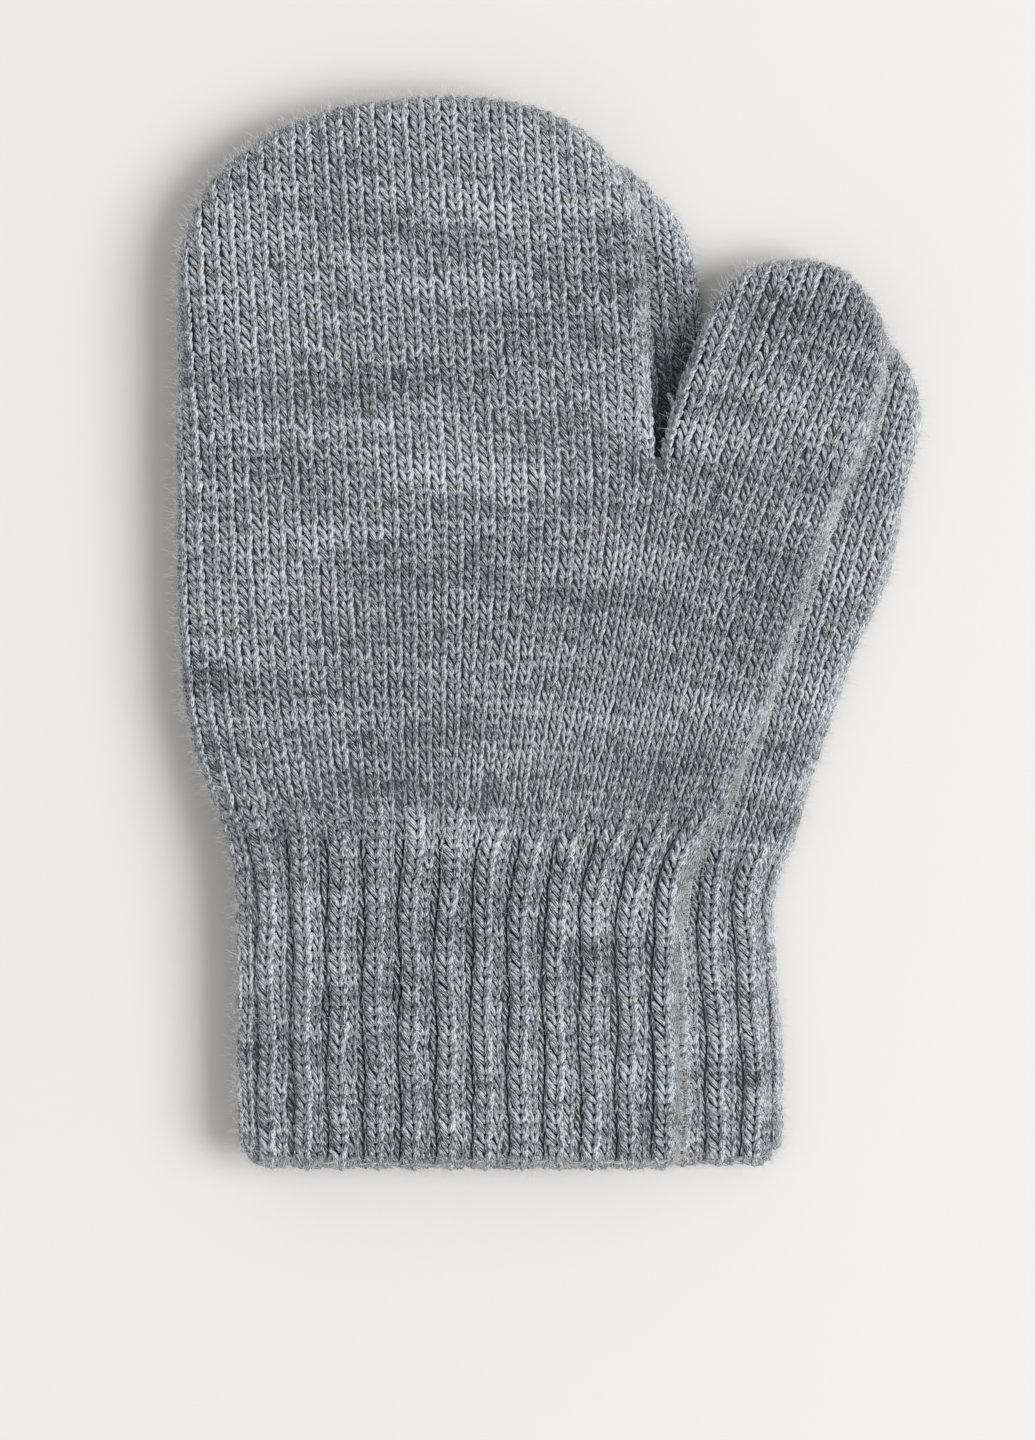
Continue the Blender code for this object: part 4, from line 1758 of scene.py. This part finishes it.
@dataclass
class Mitten:
    """One knitted mitten: its backing shells, its stitches and its loose fibres."""

    form: MittenForm
    fuzz: Fuzz
    shift: Array
    seed: int
    yarn: bpy.types.Material
    backing: bpy.types.Material
    fibre: bpy.types.Material
    inset: float = 0.45
    rib_inset: float = 0.95
    face_seed: int = 10
    fibre_seed: int = 99
    pieces: list[bpy.types.Object] = field(default_factory=list)

    def build(self, stitch: StitchRecipe, fibre: FibreRecipe) -> None:
        """Builds and dresses every part.

        Args:
            stitch: The tree that knits.
            fibre: The tree that sets loose fibres.
        """
        for cut in Cut:
            shell = self._shell(cut)
            knit = self._knit(cut, stitch)
            self._declare(cut, shell, knit)
        self._loose_fibres(fibre)

    def _shell(self, cut: Cut) -> bpy.types.Object:
        """Makes the backing of one part: a copy of the solid's surface, a little inside it.

        Args:
            cut: The part.

        Returns:
            The shell.
        """
        source = bpy.data.objects[f"{self.form.name}_{cut.part}"]
        mesh = bmesh.new()
        mesh.from_mesh(source.data)
        bmesh.ops.transform(mesh, matrix=source.matrix_world, verts=mesh.verts)
        bmesh.ops.remove_doubles(mesh, verts=mesh.verts, dist=MERGE_REACH * MM)
        mesh.normal_update()
        seams = self._neighbours(cut)
        inset = self.rib_inset if cut is Cut.CUFF else self.inset
        for vertex in mesh.verts:
            beside, _, _, gap = seams.find_nearest(vertex.co)
            if gap > SEAM_REACH * MM:
                vertex.co -= vertex.normal * inset * MM
                continue
            aside = Vector((vertex.normal.x, 0.0, vertex.normal.z))
            vertex.co += (beside - vertex.co) * RIM_OVERLAP - aside * inset * MM
        data = bpy.data.meshes.new(f"{self.form.name}_{cut.part}_cloth")
        mesh.to_mesh(data)
        mesh.free()
        data.materials.clear()
        data.materials.append(self.backing)
        data.shade_smooth()
        piece = bpy.data.objects.new(data.name, data)
        bpy.context.scene.collection.objects.link(piece)
        return piece

    def _neighbours(self, cut: Cut) -> BVHTree:
        """Gathers the surfaces of the mitten's other solids, which a part's rims meet.

        Args:
            cut: The part.

        Returns:
            The surfaces.
        """
        points: list[Vector] = []
        faces: list[list[int]] = []
        for other in Cut:
            if other is cut:
                continue
            solid = bpy.data.objects[f"{self.form.name}_{other.part}"]
            first = len(points)
            points += [solid.matrix_world @ vertex.co for vertex in solid.data.vertices]
            for polygon in solid.data.polygons:
                faces.append([first + index for index in polygon.vertices])
        return BVHTree.FromPolygons(points, faces)

    def _knit(self, cut: Cut, stitch: StitchRecipe) -> bpy.types.Object:
        """Knits one part, on both of its faces.

        Args:
            cut: The part.
            stitch: The tree that knits.

        Returns:
            Its stitches.
        """
        faces = [
            KnitFace(self.form, face, self.shift, self.seed + self.face_seed * index)
            for index, face in enumerate(Face)
        ]
        found = [face.stitches(cut.part) for face in faces]
        joined = {name: np.concatenate([group[name] for group in found]) for name in found[0]}
        name = f"{self.form.name}_{cut.part}_stitches"
        return stitch.applied(name, point_mesh(name, joined), {"Material": self.yarn})

    def _declare(self, cut: Cut, shell: bpy.types.Object, knit: bpy.types.Object) -> None:
        """Attaches the shell and its stitches to the body, logs their triangles and hides the solid
        that they replace.

        Args:
            cut: The part.
            shell: Its backing.
            knit: Its stitches.
        """
        node = f"{self.form.name}_{cut.part}"
        for piece in (shell, knit):
            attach(piece, BODY)
            self.pieces.append(piece)
            triangles = sum(len(polygon.vertices) - 2 for polygon in piece.data.polygons)
            LOG.info("%s: %d triangles", piece.name, triangles)
        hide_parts(node)

    def _loose_fibres(self, recipe: FibreRecipe) -> None:
        """Sets the loose fibres.

        Args:
            recipe: The tree that sets them.
        """
        values = self.fuzz.fibres(self.form, self.shift, self.seed + self.fibre_seed)
        name = f"{self.form.name}_loose_fibres"
        piece = recipe.applied(name, point_mesh(name, values), {"Material": self.fibre})
        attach(piece, BODY)
        self.pieces.append(piece)
        LOG.info("%s: %d fibres", piece.name, len(values["spot"]))


@dataclass(frozen=True)
class Studio:
    """The pale floor, the soft light and the camera straight above.

    The view's height and centre are in mm, the other lengths in metres and the turns in degrees.
    """

    floor_side: float = 2.4
    floor_drop: float = 0.0002
    floor_colour: Triple = (0.80, 0.79, 0.775)
    floor_roughness: float = 0.9
    floor_specular: float = 0.1
    lens: float = 120.0
    sensor_width: float = 36.0
    clip_start: float = 0.01
    view_height: float = 205.2
    centre: Point = (-4.35, 63.1)
    light_turn: float = -9.0
    light_height: float = 46.0
    light_distance: float = 2.4
    light_side: float = 1.42
    light_power: float = 48.0
    sky: Triple = (1.0, 1.0, 1.0)
    sky_strength: float = 0.54

    def build(self, shift: Array) -> None:
        """Builds the floor, the lights and the camera.

        Args:
            shift: Place of the drawing's origin in the frame, in mm.
        """
        self._floor()
        self._light()
        self._world()
        self._camera(shift)

    def _floor(self) -> None:
        """A wide flat floor just under the mittens."""
        mesh = bmesh.new()
        bmesh.ops.create_grid(mesh, x_segments=1, y_segments=1, size=self.floor_side / 2)
        bmesh.ops.translate(mesh, verts=mesh.verts, vec=(0.0, 0.0, -self.floor_drop))
        data = bpy.data.meshes.new(FLOOR)
        mesh.to_mesh(data)
        mesh.free()
        paper = Finish("floor_paper")
        paper.constants(
            {
                "Base Color": (*self.floor_colour, 1.0),
                "Roughness": self.floor_roughness,
                "Specular IOR Level": self.floor_specular,
            }
        )
        data.materials.append(paper.material)
        floor = bpy.data.objects.new(FLOOR, data)
        bpy.context.scene.collection.objects.link(floor)

    def _light(self) -> None:
        """One large soft light, halfway up on the right."""
        data = bpy.data.lights.new("soft_box", "AREA")
        data.shape = "SQUARE"
        data.size = self.light_side
        data.energy = self.light_power
        turn, height = math.radians(self.light_turn), math.radians(self.light_height)
        aside = math.cos(height)
        way = Vector((math.cos(turn) * aside, math.sin(turn) * aside, math.sin(height)))
        lamp = bpy.data.objects.new("soft_box", data)
        lamp.location = way * self.light_distance
        lamp.rotation_mode = "QUATERNION"
        lamp.rotation_quaternion = (-way).to_track_quat("-Z", "Y")
        bpy.context.scene.collection.objects.link(lamp)

    def _world(self) -> None:
        """An even pale surround that fills the shadows."""
        world = bpy.data.worlds.new("studio_surround")
        world.use_nodes = True
        back = world.node_tree.nodes["Background"]
        back.inputs["Color"].default_value = (*self.sky, 1.0)
        back.inputs["Strength"].default_value = self.sky_strength
        bpy.context.scene.world = world
        bpy.context.scene.view_settings.view_transform = "Standard"

    def _camera(self, shift: Array) -> None:
        """The camera straight above, framed as the photograph.

        Args:
            shift: Place of the drawing's origin in the frame, in mm.
        """
        data = bpy.data.cameras.new("camera")
        data.lens = self.lens
        data.sensor_width = self.sensor_width
        data.clip_start = self.clip_start
        camera = bpy.data.objects.new("camera", data)
        distance = self.view_height * self.lens / self.sensor_width
        x, y = self.centre[0] + shift[0], self.centre[1] + shift[1]
        camera.location = (x * MM, y * MM, distance * MM)
        bpy.context.scene.collection.objects.link(camera)
        bpy.context.scene.camera = camera


def main() -> None:
    """Builds the studio and both mittens, and reports each piece."""
    logging.basicConfig(level=logging.INFO, format="%(name)s %(message)s")
    shift = drawing_shift()
    Studio().build(shift)
    wool = (MarledYarn().build(), PaintedShadeBacking().build(), LooseFibre().build())
    stitches, fibres = StitchRecipe(), FibreRecipe()
    lower = Mitten(LOWER_FORM, Fuzz(2200, 400, 500), shift, 200, *wool)
    upper = Mitten(UPPER_FORM, Fuzz(8000, 1000, 1300), shift, 100, *wool)
    for mitten in (lower, upper):
        mitten.build(stitches, fibres)
        LOG.info("%s mitten: %d pieces", mitten.form.name, len(mitten.pieces))


if __name__ == "__main__":
    main()
